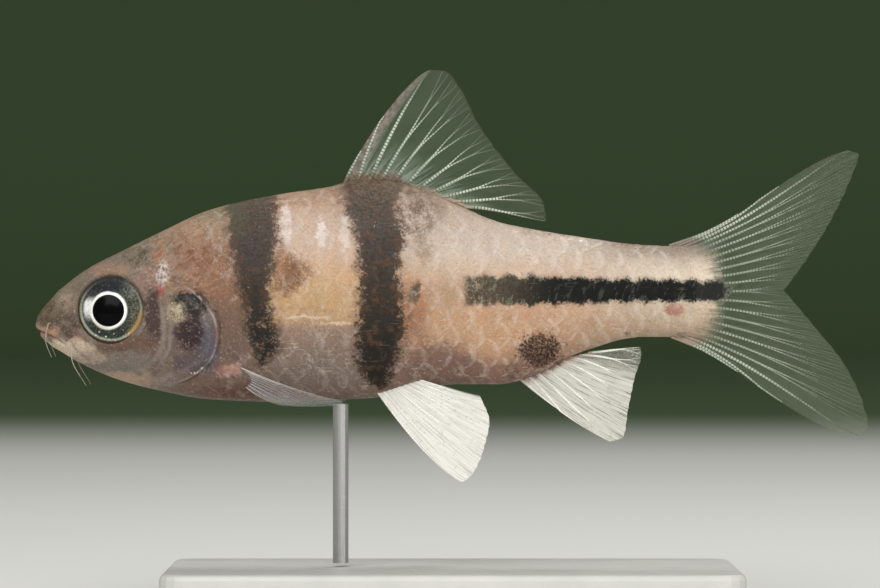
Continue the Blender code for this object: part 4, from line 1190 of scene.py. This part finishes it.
# Painted reflection: a soft pale patch on the upper rear of the iris.
reflection_away = beside(place, EYE_X + 1.55, EYE_Z + 1.45)[0]
iris = blend(reflection_away.step(1.1, 0.1) * streaks.step(0.35, 0.70) * 0.35, iris, rgb(176, 182, 172))
crescent = (pupil_away + wobble).step(2.05, 1.78) * behind.step(-0.6, -1.2)
crescent = crescent * above.step(-1.0, 0.2) * above.step(1.2, 0.5) * (0.45 + streaks * 0.9)
silver = (pupil_away + wobble * 0.6).step(SILVER_RADIUS + 0.10, SILVER_RADIUS - 0.08)
bright = silver.larger(crescent * 0.95)
warm = blend(above.step(-0.4, -1.4) * behind.step(0.4, -0.6) * 0.6, rgb(252, 252, 248), rgb(214, 202, 164))
colour = blend(bright, iris, warm)
pupil = pupil_away.step(PUPIL_RADIUS + 0.03, PUPIL_RADIUS - 0.03)
colour = blend(pupil, colour, rgb(2, 2, 3))
plug(shader, Base_Color=colour, Roughness=0.42 - pupil * 0.2, Metallic=bright * 0.15 * (1 - pupil),
     Coat_Weight=0.03, Coat_Roughness=0.04, Specular_IOR_Level=0.06,
     Normal=bumped(tree, (streaks + specks) * (1 - pupil), 0.04))
for node, obj in eyes.items():
    obj.data.materials.append(eye_material)
    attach(obj, "root")
    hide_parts(node)
print("eyes set at x =", EYE_X, "mm")

# %% [markdown]
# A fin is a thin clear skin held open by bony rays. Each ray starts as one rod at the body, splits in two
# and then in four towards the margin, and is built of short joints that show as a row of beads. The skin
# between the rays is a grid moved to the fin's shape and given its thickness by Solidify. The rays are
# tubes whose places are found on that same shape; a plain curve with a bevel would be quicker, but it
# carries no measure along the ray, and the joints of the rays are painted by that measure.

# %% The shape of a fin
GAP = 0.3
EDGE_SHARE = 4
# where the root starts, and its length
DORSAL_ROOT, ANAL_ROOT = (23.9, 9.7), (37.6, 5.3)


def bezier(root, tip, start, end, share):
    """A point along one ray: it leaves the root along start and reaches the tip along end."""
    left, share = (1 - share)[..., None], share[..., None]
    near_root = left**3 * root + 3 * left**2 * share * (root + start)
    return near_root + 3 * left * share**2 * (tip - end) + share**3 * tip


def line_through(points):
    """A smooth open line through points, as a function of a share of its length."""
    points = np.array(points, float)
    lengths = run_along(points)
    tracks = [track(lengths / lengths[-1], points[:, axis]) for axis in range(3)]
    return lambda share: np.stack([line(share) for line in tracks], axis=-1)


def side_view(points):
    """Points of the side view on the middle plane."""
    return [(x, 0.0, z) for x, z in points]


def fin_shape(root, margin, lead, trail, bow=0.0, wave=0.0):
    """The middle surface of a fin, as a function of the share across it and the share of the way out.

    Its first and last rays leave and end along lead and trail. The rays between them run straight, or bow a
    little, and wave is how far they sway sideways.
    """
    lead, trail = np.array(lead, float), np.array(trail, float)
    bend = np.array((-bow, 0.0, bow))

    def at(across, out):
        across, out = np.broadcast_arrays(np.asarray(across, float), np.asarray(out, float))
        part = across[..., None]
        foot, tip = root(across), margin(across)
        chord = tip - foot
        front, rear = (1 - part) ** EDGE_SHARE, part**EDGE_SHARE
        inner = 1 - front - rear
        start = (chord * 0.35 + bend) * inner + lead[0] * front + trail[0] * rear
        end = (chord * 0.35 - bend) * inner + lead[1] * front + trail[1] * rear
        point = bezier(foot, tip, start, end, out.clip(0))
        point += 3 * start * out.clip(None, 0)[..., None]
        point[..., 1] += wave * np.sin(across * 7 + out * 2) * out.clip(0)
        return point

    return at


def dorsal_root(share):
    """A point a gap above the back, by its share of the dorsal fin's root."""
    x = DORSAL_ROOT[0] + DORSAL_ROOT[1] * share
    return np.stack([x, 0 * x, back(x) + GAP], axis=-1)


def anal_root(share):
    """A point a gap below the belly, by its share of the anal fin's root."""
    x = ANAL_ROOT[0] + ANAL_ROOT[1] * share
    return np.stack([x, 0 * x, belly(x) - GAP], axis=-1)


def tail_root(share):
    """A point a gap behind the rounded end of the trunk: share 0 is its top corner, 1 its bottom corner."""
    turn = math.pi / 2 - math.pi * share
    level = widest_level(TRUNK_LENGTH)
    height = np.where(turn > 0, back_line(TRUNK_LENGTH) - level, level - belly_line(TRUNK_LENGTH)) + GAP
    x = TRUNK_LENGTH - TAIL_CAP + (TAIL_CAP + GAP) * np.cos(turn)
    return np.stack([x, 0 * x, level + height * np.sin(turn)], axis=-1)


def upper_root(share):
    """The tail's root from its top corner to its middle."""
    return tail_root(0.5 * share)


def lower_root(share):
    """The tail's root from its bottom corner to its middle."""
    return tail_root(1 - 0.5 * share)


print("dorsal root:", DORSAL_ROOT[1], "mm, anal root:", ANAL_ROOT[1], "mm")

# %% [markdown]
# A fin's outline is a line through a few points of its margin, read off the photograph. The fins of the
# middle lie in the middle plane. The pelvic and pectoral fins are drawn for the right side and mirrored
# for the left.

# %% The outlines of the fins
def paired(points, side):
    """Points given for the right side, put on the side asked for."""
    return [(x, side * y, z) for x, y, z in points]


def mid_fins():
    """The shapes of the dorsal, anal and tail fins by node."""
    dorsal_margin = line_through(side_view(
        [(30.2, 17.25), (31.4, 17.25), (32.6, 16.0), (34.1, 13.1), (37.0, 9.2), (39.1, 6.9), (39.3, 5.6)]
    ))
    anal_margin = line_through(side_view(
        [(44.2, -11.4), (45.2, -11.1), (45.6, -8.9), (46.1, -6.4), (46.6, -4.6), (46.5, -4.1)]
    ))
    upper_margin = line_through(side_view(
        [(62.6, 11.1), (63.45, 10.75), (63.0, 9.4), (61.3, 5.8), (59.3, 2.6), (57.6, 0.29)]
    ))
    lower_margin = line_through(side_view(
        [(63.4, -10.9), (64.15, -10.1), (63.9, -8.9), (62.4, -5.6), (60.2, -2.8), (57.6, 0.29)]
    ))
    dorsal_lead, dorsal_trail = ((1.2, 0, 2.8), (1.8, 0, 0.8)), ((1.9, 0, -0.1), (1.9, 0, -0.25))
    anal_lead, anal_trail = ((2.1, 0, -1.8), (2.2, 0, -1.0)), ((1.2, 0, 0.1), (1.2, 0, 0.05))
    upper_lead, lower_lead = ((4.2, 0, 1.4), (4.0, 0, 0.85)), ((3.8, 0, -1.5), (4.2, 0, -0.1))
    tail_trail = ((1.9, 0, 0), (1.9, 0, 0))
    return {
        "dorsal_fin": fin_shape(dorsal_root, dorsal_margin, dorsal_lead, dorsal_trail, bow=0.35, wave=0.10),
        "anal_fin": fin_shape(anal_root, anal_margin, anal_lead, anal_trail, wave=0.08),
        "tail_fin_upper": fin_shape(upper_root, upper_margin, upper_lead, tail_trail, wave=0.08),
        "tail_fin_lower": fin_shape(lower_root, lower_margin, lower_lead, tail_trail, wave=0.08),
    }


def paired_fins(side):
    """The shapes of one side's pelvic and pectoral fins by node."""
    pelvic_root = line_through(paired([(26.1, 1.0, -7.3), (27.6, 1.25, -6.9), (29.2, 1.35, -6.5)], side))
    pelvic_margin = line_through(paired([
        (32.8, 4.3, -14.4), (33.5, 4.2, -13.9), (34.6, 3.5, -11.4), (34.9, 2.9, -9.8), (34.2, 2.2, -7.9)
    ], side))
    pectoral_root = line_through(paired([(14.9, 2.5, -5.2), (15.1, 2.0, -5.8), (15.2, 1.4, -6.3)], side))
    pectoral_margin = line_through(paired([
        (23.6, 7.2, -8.1), (23.8, 6.6, -8.3), (22.4, 5.2, -8.55), (20.6, 4.1, -8.6), (18.9, 3.4, -8.5)
    ], side))
    pelvic_lead = paired(((1.8, 0.8, -2.6), (2.2, 0.7, -1.0)), side)
    pelvic_trail = paired(((1.6, 0.3, -0.5), (1.6, 0.2, -0.3)), side)
    pectoral_lead = paired(((2.6, 2.3, -1.2), (2.8, 0.6, -0.5)), side)
    pectoral_trail = paired(((1.2, 0.9, -1.1), (1.4, 0.3, -0.3)), side)
    label = "left" if side < 0 else "right"
    return {
        "pelvic_fin_" + label: fin_shape(pelvic_root, pelvic_margin, pelvic_lead, pelvic_trail),
        "pectoral_fin_" + label: fin_shape(pectoral_root, pectoral_margin, pectoral_lead, pectoral_trail),
    }


fins = mid_fins()
for side in (-1, 1):
    fins.update(paired_fins(side))
print("fins:", len(fins))

# %% [markdown]
# The flesh of the tail stem doesn't end in an edge: it thins out over the roots of the tail's rays. So
# the tail fin is thick at its root, where it lies over the stem's rounded end, and thins to a bare
# membrane a few millimetres on. The rays there are as deep as the flesh, so they show as ridges on it.

# %% Flesh over the tail root
FLESH_HALF = track((44, 50.2, 51.2, 52, 53, 54, 55.2, 56.6),
                   (1.60, 1.04, 0.89, 0.72, 0.46, 0.25, 0.09, 0.0))
FLESH_REACH = track((44, 50, 51, 52.1, 54, 56, 60), (3.5, 3.5, 3.75, 4.1, 5.0, 6.0, 8.0))
SUNK, SUNK_TAIL = -0.12, -0.36
RIDGE_SUNK = 0.085


def tail_flesh(x, z):
    """Half the thickness of the flesh over the tail root at a place in the side view."""
    across = (z - widest_level(TRUNK_LENGTH)) / FLESH_REACH(x)
    return FLESH_HALF(x) * np.sqrt(np.clip(1 - across**2, 0, 1))


def no_flesh(x, z):
    """The other fins leave the body as bare membrane."""
    return np.zeros(np.shape(x))


print("flesh at the trunk's end:", 2 * round(float(FLESH_HALF(TRUNK_LENGTH)), 2), "mm thick")

# %% [markdown]
# Each ray is laid out as shares across the fin and shares of the way out, which the fin's shape turns
# into places. A branched ray is four such lines that lie on each other up to the forks. The beads are
# small swellings.

# %% Rays
RAY_SIDES = 6
JOINT = 0.26
SIMPLE_POINTS, BRANCHED_POINTS = 70, 120


def gathered(place, first, out):
    """The share across at which a ray lies, out along it: the front rays run together at the front edge."""
    moved = place - first * (1 - place) / (1 - first) * out.clip(0)
    return np.clip(moved, 0.004, 1)


def ray_paths(place, spacing, branched, reach, sunk, fork_at):
    """The lines of one ray, its stem and its branches: shares across, shares out, and width at each."""
    if not branched:
        out = np.linspace(sunk, reach, SIMPLE_POINTS)
        return [(np.full(out.shape, place), out, 1.25 - 0.85 * out.clip(0) / reach)]
    first, second = fork_at[0] + 0.05 * random.random(), fork_at[1] + 0.05 * random.random()
    out = np.linspace(sunk, reach, BRANCHED_POINTS)
    fork = smooth_step(first, first + 0.45, out) * (out - first).clip(0) / (reach - first)
    twig = smooth_step(second, second + 0.3, out) * (out - second).clip(0) / (reach - second)
    width = 1 - 0.42 * smooth_step(first, first + 0.25, out)
    width = (width - 0.18 * smooth_step(second, second + 0.2, out)) * (1 - 0.35 * out.clip(0) / reach)
    # the first of the four is the stem, and the others start where they part from it
    starts = {(-1, -1): sunk, (-1, 1): second, (1, -1): first, (1, 1): second}
    lines = []
    for half in (-1, 1):
        for quarter in (-1, 1):
            across = place + spacing * (half * 0.26 * fork + quarter * 0.13 * twig)
            keep = out >= starts[half, quarter] - 0.02
            lines.append((across[keep], out[keep], width[keep]))
    return lines


def tube_mesh(name, lines, flesh):
    """One mesh of tubes along lines, each with its points, its radii, the fin's normals and the shares out."""
    points, faces, along, reach = [], [], [], []
    angles = 2 * math.pi * np.arange(RAY_SIDES) / RAY_SIDES
    for line, radius, flat, out in lines:
        ahead = unit(np.gradient(line, axis=0))
        sideways = unit(np.cross(ahead, flat))
        upwards = np.cross(sideways, ahead)
        ring = sideways[:, None] * np.cos(angles)[:, None] + upwards[:, None] * np.sin(angles)[:, None]
        tube = line[:, None] + ring * radius[:, None, None]
        face_side = np.where(np.abs(ring[..., 1]) > 0.3, np.sign(ring[..., 1]), 0)
        tube[..., 1] += face_side * (flesh(line[:, 0], line[:, 2]) - RIDGE_SUNK).clip(0)[:, None]
        first, count = len(points), len(line)
        points += list(tube.reshape(-1, 3))
        along += list(np.repeat(run_along(line), RAY_SIDES))
        reach += list(np.repeat(out, RAY_SIDES))
        for i in range(count - 1):
            for j in range(RAY_SIDES):
                a, b = first + i * RAY_SIDES + j, first + i * RAY_SIDES + (j + 1) % RAY_SIDES
                faces.append((a, b, b + RAY_SIDES, a + RAY_SIDES))
        faces.append(tuple(first + j for j in range(RAY_SIDES)))
        faces.append(tuple(first + (count - 1) * RAY_SIDES + j for j in range(RAY_SIDES)))
    obj = new_piece(name, points, faces)
    for label, values in (("along", along), ("reach", reach)):
        obj.data.attributes.new(label, "FLOAT", "POINT").data.foreach_set("value", values)
    turn_outwards(obj)
    smooth(obj)
    return obj


def fin_rays(name, shape, simple, branched, radius, fork_at, sunk, flesh):
    """All rays of a fin: a few simple ones at its front edge, then the branched ones."""
    count = len(simple) + branched
    first, spacing = (len(simple) - 1) / (count - 1), 1 / (count - 1)
    lines = []
    for ray in range(count):
        place = ray / (count - 1)
        reach = simple[ray] if ray < len(simple) else 0.975 - 0.01 * random.random()
        for across, out, width in ray_paths(place, spacing, ray >= len(simple), reach, sunk, fork_at):
            across = gathered(across, first, out)
            line = shape(across, out)
            other = shape(np.clip(across + 0.02, 0, 1), out) - shape(np.clip(across - 0.02, 0, 1), out)
            flat = unit(np.cross(np.gradient(line, axis=0), other))
            beads = 1 + 0.06 * np.cos(2 * math.pi * run_along(line) / JOINT)
            lines.append((line, radius * width * beads, flat, out))
    return tube_mesh(name + "_rays", lines, flesh)


print("ray joints:", JOINT, "mm long")

# %% [markdown]
# The membrane is one grid per fin, bent to the fin's shape, and Solidify makes it a closed sheet. Its two
# faces then part over the tail root, where the flesh lies between them.

# %% Membrane
MEMBRANE_THICKNESS = 0.07
MEMBRANE_COLUMNS, MEMBRANE_ROWS = 72, 42
SCALLOPS = 11
MEMBRANE_SMOOTHING = 50


def fin_membrane(name, shape, sunk, flesh):
    """The thin skin of a fin: a grid moved to its shape, its margin drawn in a little between the rays."""
    bpy.ops.mesh.primitive_grid_add(x_subdivisions=MEMBRANE_COLUMNS, y_subdivisions=MEMBRANE_ROWS, size=1)
    obj = bpy.context.object
    obj.name = name + "_membrane"
    grid = read_points(obj)
    across, out = grid[:, 0] + 0.5, sunk + (1 - sunk) * (grid[:, 1] + 0.5)
    reach = 0.988 - 0.003 * np.cos(across * 2 * math.pi * SCALLOPS)
    flat = shape(across, np.minimum(out, 0) + out.clip(0) * reach)
    write_points(obj, to_model(flat))
    solidify = obj.modifiers.new("thickness", "SOLIDIFY")
    solidify.thickness = MEMBRANE_THICKNESS * MM
    solidify.offset = 0
    bpy.ops.object.modifier_apply(modifier=solidify.name)
    shell = read_points(obj)
    face_side = np.sign(shell[:len(flat), 1] - shell[len(flat):, 1])
    shell[:, 1] += np.concatenate([face_side, -face_side]) * np.tile(flesh(flat[:, 0], flat[:, 2]), 2) * MM
    write_points(obj, shell)
    bpy.ops.object.shade_smooth_by_angle(angle=math.radians(MEMBRANE_SMOOTHING))
    return obj


print("membrane faces:", MEMBRANE_COLUMNS * MEMBRANE_ROWS, "before Solidify")


# %% [markdown]
# The fins' finish: the rays are off-white and half clear, with a gap of darker skin at each joint. The
# membrane is nearly clear on the dorsal and tail fins and milky on the fins below. Both take the body's
# own colours where they leave it, so the markings run out onto the roots of the fins.

# %% Fin materials: the rays
def ray_material(name, pale, dusk, beads, bright_at, fade, root_at=0.03, patches=(), mottles=()):
    """Off-white beaded rays.

    Beads tells how much the joints show, bright_at how far out the ray is brightest, fade how much of it is
    lost at its tip, and root_at how far out the body's colours run onto it.
    """
    material, shader, tree = new_material(name)
    place = fish_place(tree)
    along, reach = map(tree.attribute, ("along", "reach"))
    gap = abs((along / JOINT).fraction() - 0.5).step(0.28, 0.44) * beads
    patchy = noise(place, 1.4, 3.0)
    bright = (reach + (patchy - 0.5) * 0.5).near(bright_at, 0.70)
    colour = blend(gap, blend(bright, rgb(*dusk), rgb(*pale)), rgb(*dusk))
    root = (reach + (patchy - 0.5) * 0.16).step(root_at + 0.03, root_at - 0.03)
    colour = blend(root * 0.85, colour, markings(place, patches, mottles)[0])
    alpha = (1 - gap * 0.55) * (1 - reach.step(0.45, 1.0) * fade) * (0.55 + bright * 0.45)
    plug(shader, Base_Color=colour, Roughness=0.35 + patchy * 0.2, Alpha=alpha + (1 - alpha) * root,
         Specular_IOR_Level=0.3)
    return material


DORSAL_MOTTLES = MOTTLES[17:20]
tail_rays = ray_material("tail_rays", (186, 194, 176), (104, 114, 94), 0.85, 0.28, 0.30,
                         patches=TAIL_PATCHES, mottles=TAIL_MOTTLES)
dorsal_rays = ray_material("dorsal_rays", (202, 212, 192), (110, 122, 100), 0.90, 0.36, 0.45,
                           root_at=0.0, mottles=DORSAL_MOTTLES)
milky_rays = ray_material("milky_rays", (248, 246, 240), (214, 211, 200), 0.20, 0.40, 0.35, root_at=-0.05)
veil_rays = ray_material("veil_rays", (204, 198, 194), (172, 162, 156), 0.10, 0.12, 0.98, root_at=0.12)
print("tail ray nodes:", len(tail_rays.node_tree.nodes))

# %% [markdown]
# The skin between the rays needs more kinds of finish than the rays do: the dorsal fin has a dusky front
# edge, the fins below carry single pigment cells, and the tail is milky near the body. Each is one part
# of the same material that a fin can leave out.


# %% Fin materials: the membranes
def membrane_material(name, tint, clear, streak, root_reach, patches=(), mottles=(),
                      band=0.0, clear_rear=0.0, specks=0.0, mist=0.0):
    """The thin skin of a fin: streaks along the rays, and the body's colours at its root.

    Band is the depth of the dusky band at the front edge, clear_rear how much clearer the rear part is,
    specks how many dark pigment cells show, and mist how milky the skin is near the body.
    """
    material, shader, tree = new_material(name)
    place = fish_place(tree)
    share = tree.node("UVMap", {"uv_map": "UVMap"})
    across, rise, _ = share.split()
    streaks = noise(tree.node("Mapping", {}, {"Vector": share, "Scale": (80.0, 2.5, 1.0)}), 1.0, 3.0)
    mottle = noise(place, 2.4, 4.0, 0.65)
    rooted = rise + (mottle - 0.5) * 0.16 + (streaks - 0.5) * 0.24
    root = rooted.step(root_reach, root_reach * 0.5)
    colour = blend(streaks.step(0.46, 0.34) * streak, rgb(*tint), rgb(126, 122, 112))
    alpha = clear * (0.80 + streaks.step(0.35, 0.65) * 0.4) * (1 - across.step(0.60, 0.90) * clear_rear)
    if mist:
        foggy = rise.step(0.50, 0.10) * streaks.step(0.38, 0.62) * mist
        colour = blend(foggy, colour, rgb(196, 214, 196))
        alpha = alpha + foggy * 0.40
    if band:
        front = (across - band + rise * band * 0.95 + (streaks - 0.5) * 0.05).step(0.02, -0.03)
        dusky = blend(mottle.step(0.4, 0.6), rgb(104, 92, 84), rgb(150, 138, 128))
        colour = blend(front * 0.9, colour, dusky)
        alpha = alpha + (0.74 - alpha) * front
    if specks:
        dots = cells(place, 3.2).step(0.30, 0.16) * noise(place, 0.8, 2.0).step(0.44, 0.56) * specks
        colour = blend(dots, colour, rgb(112, 78, 66))
        alpha = alpha + (0.9 - alpha) * dots
    body, dark = markings(place, patches, mottles)[:2]
    root = root.larger(dark.step(0.45, 0.95) * rooted.step(root_reach * 1.35, root_reach * 0.95))
    colour = blend(root, colour, body)
    plug(shader, Base_Color=colour, Roughness=0.36 + streaks * 0.15, Alpha=alpha + (0.98 - alpha) * root,
         Specular_IOR_Level=0.3, Normal=bumped(tree, streaks, 0.03))
    return material


dorsal_skin = membrane_material("dorsal_skin", (132, 142, 120), 0.09, 0.3, 0.11,
                                mottles=DORSAL_MOTTLES, band=0.13, mist=0.6)
tail_skin = membrane_material("tail_skin", (122, 132, 108), 0.17, 0.3, 0.36,
                              patches=TAIL_PATCHES, mottles=TAIL_MOTTLES, mist=0.3)
anal_skin = membrane_material("anal_skin", (240, 238, 226), 0.48, 0.7, 0.13, clear_rear=0.8, specks=0.5)
pelvic_skin = membrane_material("pelvic_skin", (246, 244, 236), 0.54, 0.35, 0.12, specks=0.4)
pectoral_skin = membrane_material("pectoral_skin", (204, 202, 202), 0.13, 0.1, 0.20)
print("tail membrane nodes:", len(tail_skin.node_tree.nodes))

# %% [markdown]
# Now each fin is built: its membrane takes the place of the solid fin, and its rays lie on the membrane.

# %% All fins
# simple rays at the front edge by how far out they reach, branched rays, ray radius, forks, membrane, rays
FIN_LOOKS = {
    "dorsal_fin": ((0.22, 0.48, 0.99), 8, 0.125, (0.18, 0.60), dorsal_skin, dorsal_rays),
    "anal_fin": ((0.35, 0.70, 0.99), 6, 0.095, (0.30, 0.60), anal_skin, milky_rays),
    "tail_fin_upper": ((0.30, 0.55, 0.99), 9, 0.11, (0.12, 0.42), tail_skin, tail_rays),
    "tail_fin_lower": ((0.30, 0.55, 0.99), 8, 0.11, (0.12, 0.42), tail_skin, tail_rays),
    "pelvic_fin": ((0.99,), 8, 0.085, (0.30, 0.60), pelvic_skin, milky_rays),
    "pectoral_fin": ((0.99,), 9, 0.042, (0.40, 0.70), pectoral_skin, veil_rays),
}
for name, shape in fins.items():
    look = next(look for kind, look in FIN_LOOKS.items() if name.startswith(kind))
    simple, branched, radius, fork_at, membrane_finish, ray_finish = look
    sunk, flesh = (SUNK_TAIL, tail_flesh) if name.startswith("tail") else (SUNK, no_flesh)
    membrane = fin_membrane(name, shape, sunk, flesh)
    rays = fin_rays(name, shape, simple, branched, radius, fork_at, SUNK, flesh)
    membrane.data.materials.append(membrane_finish)
    rays.data.materials.append(ray_finish)
    for obj in (membrane, rays):
        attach(obj, "root")
    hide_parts(name)
    print(name, "ray faces:", len(rays.data.polygons))

# %% [markdown]
# Two pairs of barbels hang by the mouth as soft pale threads. Each is a curve through a few points with a
# round bevel that thins to its tip, made a mesh once its shape is right.

# %% Barbels
FRONT_BARBEL = ((1.15, -2.25), (0.15, 0.1, -1.2), (0.6, 0.0, -2.6))
REAR_BARBEL = ((2.85, -3.45), (0.3, 0.15, -1.1), (1.4, 0.0, -3.3))
BARBEL_RADIUS = 0.062
BARBEL_POINTS = 24

barbel_material, shader, tree = new_material("barbel")
place = fish_place(tree)
bands = noise(place, 3.0, 3.0)
plug(shader, Base_Color=blend(bands, rgb(160, 142, 124), rgb(206, 192, 174)), Roughness=0.3 + bands * 0.2,
     Alpha=0.28 + bands * 0.45, Specular_IOR_Level=0.3, Normal=bumped(tree, bands, 0.02))


def skin_place(x, z, side):
    """The point of the skin at this place in the side view, and the way out of the skin there."""
    rise = z - widest_level(x)
    reach = back(x) - widest_level(x) if rise > 0 else widest_level(x) - belly(x)
    turn = np.arcsin(np.clip(rise / reach, -1, 1))
    point = trunk_points(np.array(x), turn)
    along = trunk_points(np.array(x + 0.05), turn) - point
    around = trunk_points(np.array(x), turn + 0.02) - point
    outward = unit(np.cross(around, along))
    outward *= np.sign(outward[1])
    return point * (1, side, 1), outward * (1, side, 1)


def barbel(name, root, bend, tip, side, node):
    """One barbel as a bevelled curve turned into a mesh."""
    point, outward = skin_place(*root, side)
    start = point + outward * 0.75
    knee = point + outward * 0.42 + np.array(bend) * (0.5, 0.5 * side, 0.22)
    knots = [point - outward * 0.2, point + outward * 0.15, knee]
    knots += [start + np.array(bend) * (1, side, 1), start + np.array(tip) * (1, side, 1)]
    line = line_through(knots)
    bpy.ops.curve.primitive_nurbs_path_add(enter_editmode=False)
    obj = bpy.context.object
    obj.name = name
    curve = obj.data
    curve.splines.clear()
    spline = curve.splines.new("POLY")
    spline.points.add(BARBEL_POINTS - 1)
    for knot, share in zip(spline.points, np.linspace(0, 1, BARBEL_POINTS)):
        knot.co = (*to_model(line(share)), 1)
        knot.radius = 1.25 - 0.95 * share
    curve.bevel_depth = BARBEL_RADIUS * MM
    curve.bevel_resolution = 3
    curve.use_fill_caps = True
    bpy.ops.object.convert(target="MESH")
    obj = bpy.context.object
    turn_outwards(obj)
    smooth(obj)
    obj.data.materials.clear()
    obj.data.materials.append(barbel_material)
    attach(obj, "root")
    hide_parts(node)
    return obj


for side, label in ((-1, "left"), (1, "right")):
    for where, table in (("front", FRONT_BARBEL), ("rear", REAR_BARBEL)):
        made = barbel(f"barbel_thread_{where}_{label}", *table, side, f"barbel_{where}_{label}")
print("barbels hang to z =", round(min(v.co.z for v in made.data.vertices) / MM, 1), "mm")

# %% [markdown]
# The stand's solids already have the right shape, so they stay and only get their finish: a satin pale
# base with a fine grain, and a rod of brushed steel whose scratches run round it.

# %% Stand
base_material, shader, tree = new_material("stand_base")
place = fish_place(tree)
grain = noise(place, 9.0, 3.0)
cloud = noise(place, 0.3, 2.0)
plug(shader, Base_Color=blend(cloud, rgb(196, 196, 192), rgb(214, 213, 208)), Roughness=0.42 + grain * 0.16,
     Normal=bumped(tree, grain, 0.02))
rod_material, shader, tree = new_material("stand_rod")
place = fish_place(tree)
scratches = noise(stretched(place, 1, 1, 30), 1.5, 3.0)
plug(shader, Base_Color=blend(scratches, rgb(150, 150, 148), rgb(190, 190, 188)), Metallic=1.0,
     Roughness=0.22 + scratches * 0.18, Normal=bumped(tree, scratches, 0.01))
for node, material in (("stand_base", base_material), ("stand_rod", rod_material)):
    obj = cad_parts[node]
    obj.data.materials.clear()
    obj.data.materials.append(material)
    print(node, "has the finish", material.name)

# %% [markdown]
# The studio is a pale floor that turns into a dark green backdrop far behind the fish, so that the clear
# fins show against it as they do in the tank. The sweep is a grid bent by a formula, so no edge shows
# between floor and wall. The colour changes with depth alone, and the floor stays plain and pale near the
# fish.

# %% Floor and backdrop
FLOOR_FRONT, FLOOR_DEPTH, SWEEP_RADIUS, WALL_HEIGHT = 1.5, 1.6, 0.3, 1.5
FLOOR_WIDTH = 5.0
SWEEP_LENGTH = SWEEP_RADIUS * math.pi / 2
GREEN_FROM, GREEN_TO = 0.34, 0.66

bpy.ops.mesh.primitive_grid_add(x_subdivisions=2, y_subdivisions=80, size=1)
floor = bpy.context.object
floor.name = "floor"
grid = read_points(floor)
run = (grid[:, 1] + 0.5) * (FLOOR_FRONT + FLOOR_DEPTH + SWEEP_LENGTH + WALL_HEIGHT) - FLOOR_FRONT
bend = np.clip((run - FLOOR_DEPTH) / SWEEP_RADIUS, 0, math.pi / 2)
over = np.clip(run - FLOOR_DEPTH - SWEEP_LENGTH, 0, None)
depth = np.minimum(run, FLOOR_DEPTH) + SWEEP_RADIUS * np.sin(bend)
height = SWEEP_RADIUS * (1 - np.cos(bend)) + over
write_points(floor, np.stack([grid[:, 0] * FLOOR_WIDTH, depth, height], axis=1))
smooth(floor)
floor_material, shader, tree = new_material("floor")
green = tree.node("TexCoord", out="Object").split()[1].step(GREEN_FROM, GREEN_TO)
plug(shader, Base_Color=blend(green, rgb(226, 226, 222), rgb(74, 98, 60)), Roughness=0.75)
floor.data.materials.append(floor_material)
print("backdrop up to", round(float(height.max()), 2), "m")

# %% [markdown]
# The light is plain and soft: a broad lamp high on the camera's side, a weaker one on the other side that
# shines through the fins, and an even pale world. Colours are shown as they are, with no film look.

# %% Lights
middle = Vector(to_model((32, 0, 0)))


def lamp(name, place, size, power):
    """A soft square lamp that looks at the middle of the fish."""
    bpy.ops.object.light_add(type="AREA", location=middle + Vector(place))
    made = bpy.context.object
    made.name = name
    made.data.size = size
    made.data.energy = power
    made.rotation_euler = (-Vector(place)).to_track_quat("-Z", "Y").to_euler()
    print(name, "lamp:", power, "W")


lamp("key", (-0.10, -0.38, 0.30), 0.34, 1.55)
lamp("fill", (0.30, -0.42, -0.01), 0.34, 0.90)
lamp("behind", (0.12, 0.13, 0.34), 0.18, 0.50)
world = bpy.data.worlds.new("world")
bpy.context.scene.world = world
world.use_nodes = True
sky = world.node_tree.nodes["Background"]
sky.inputs["Color"].default_value = (1.0, 0.98, 0.95, 1)
sky.inputs["Strength"].default_value = 0.42
bpy.context.scene.view_settings.view_transform = "Standard"
print("world and colours set")
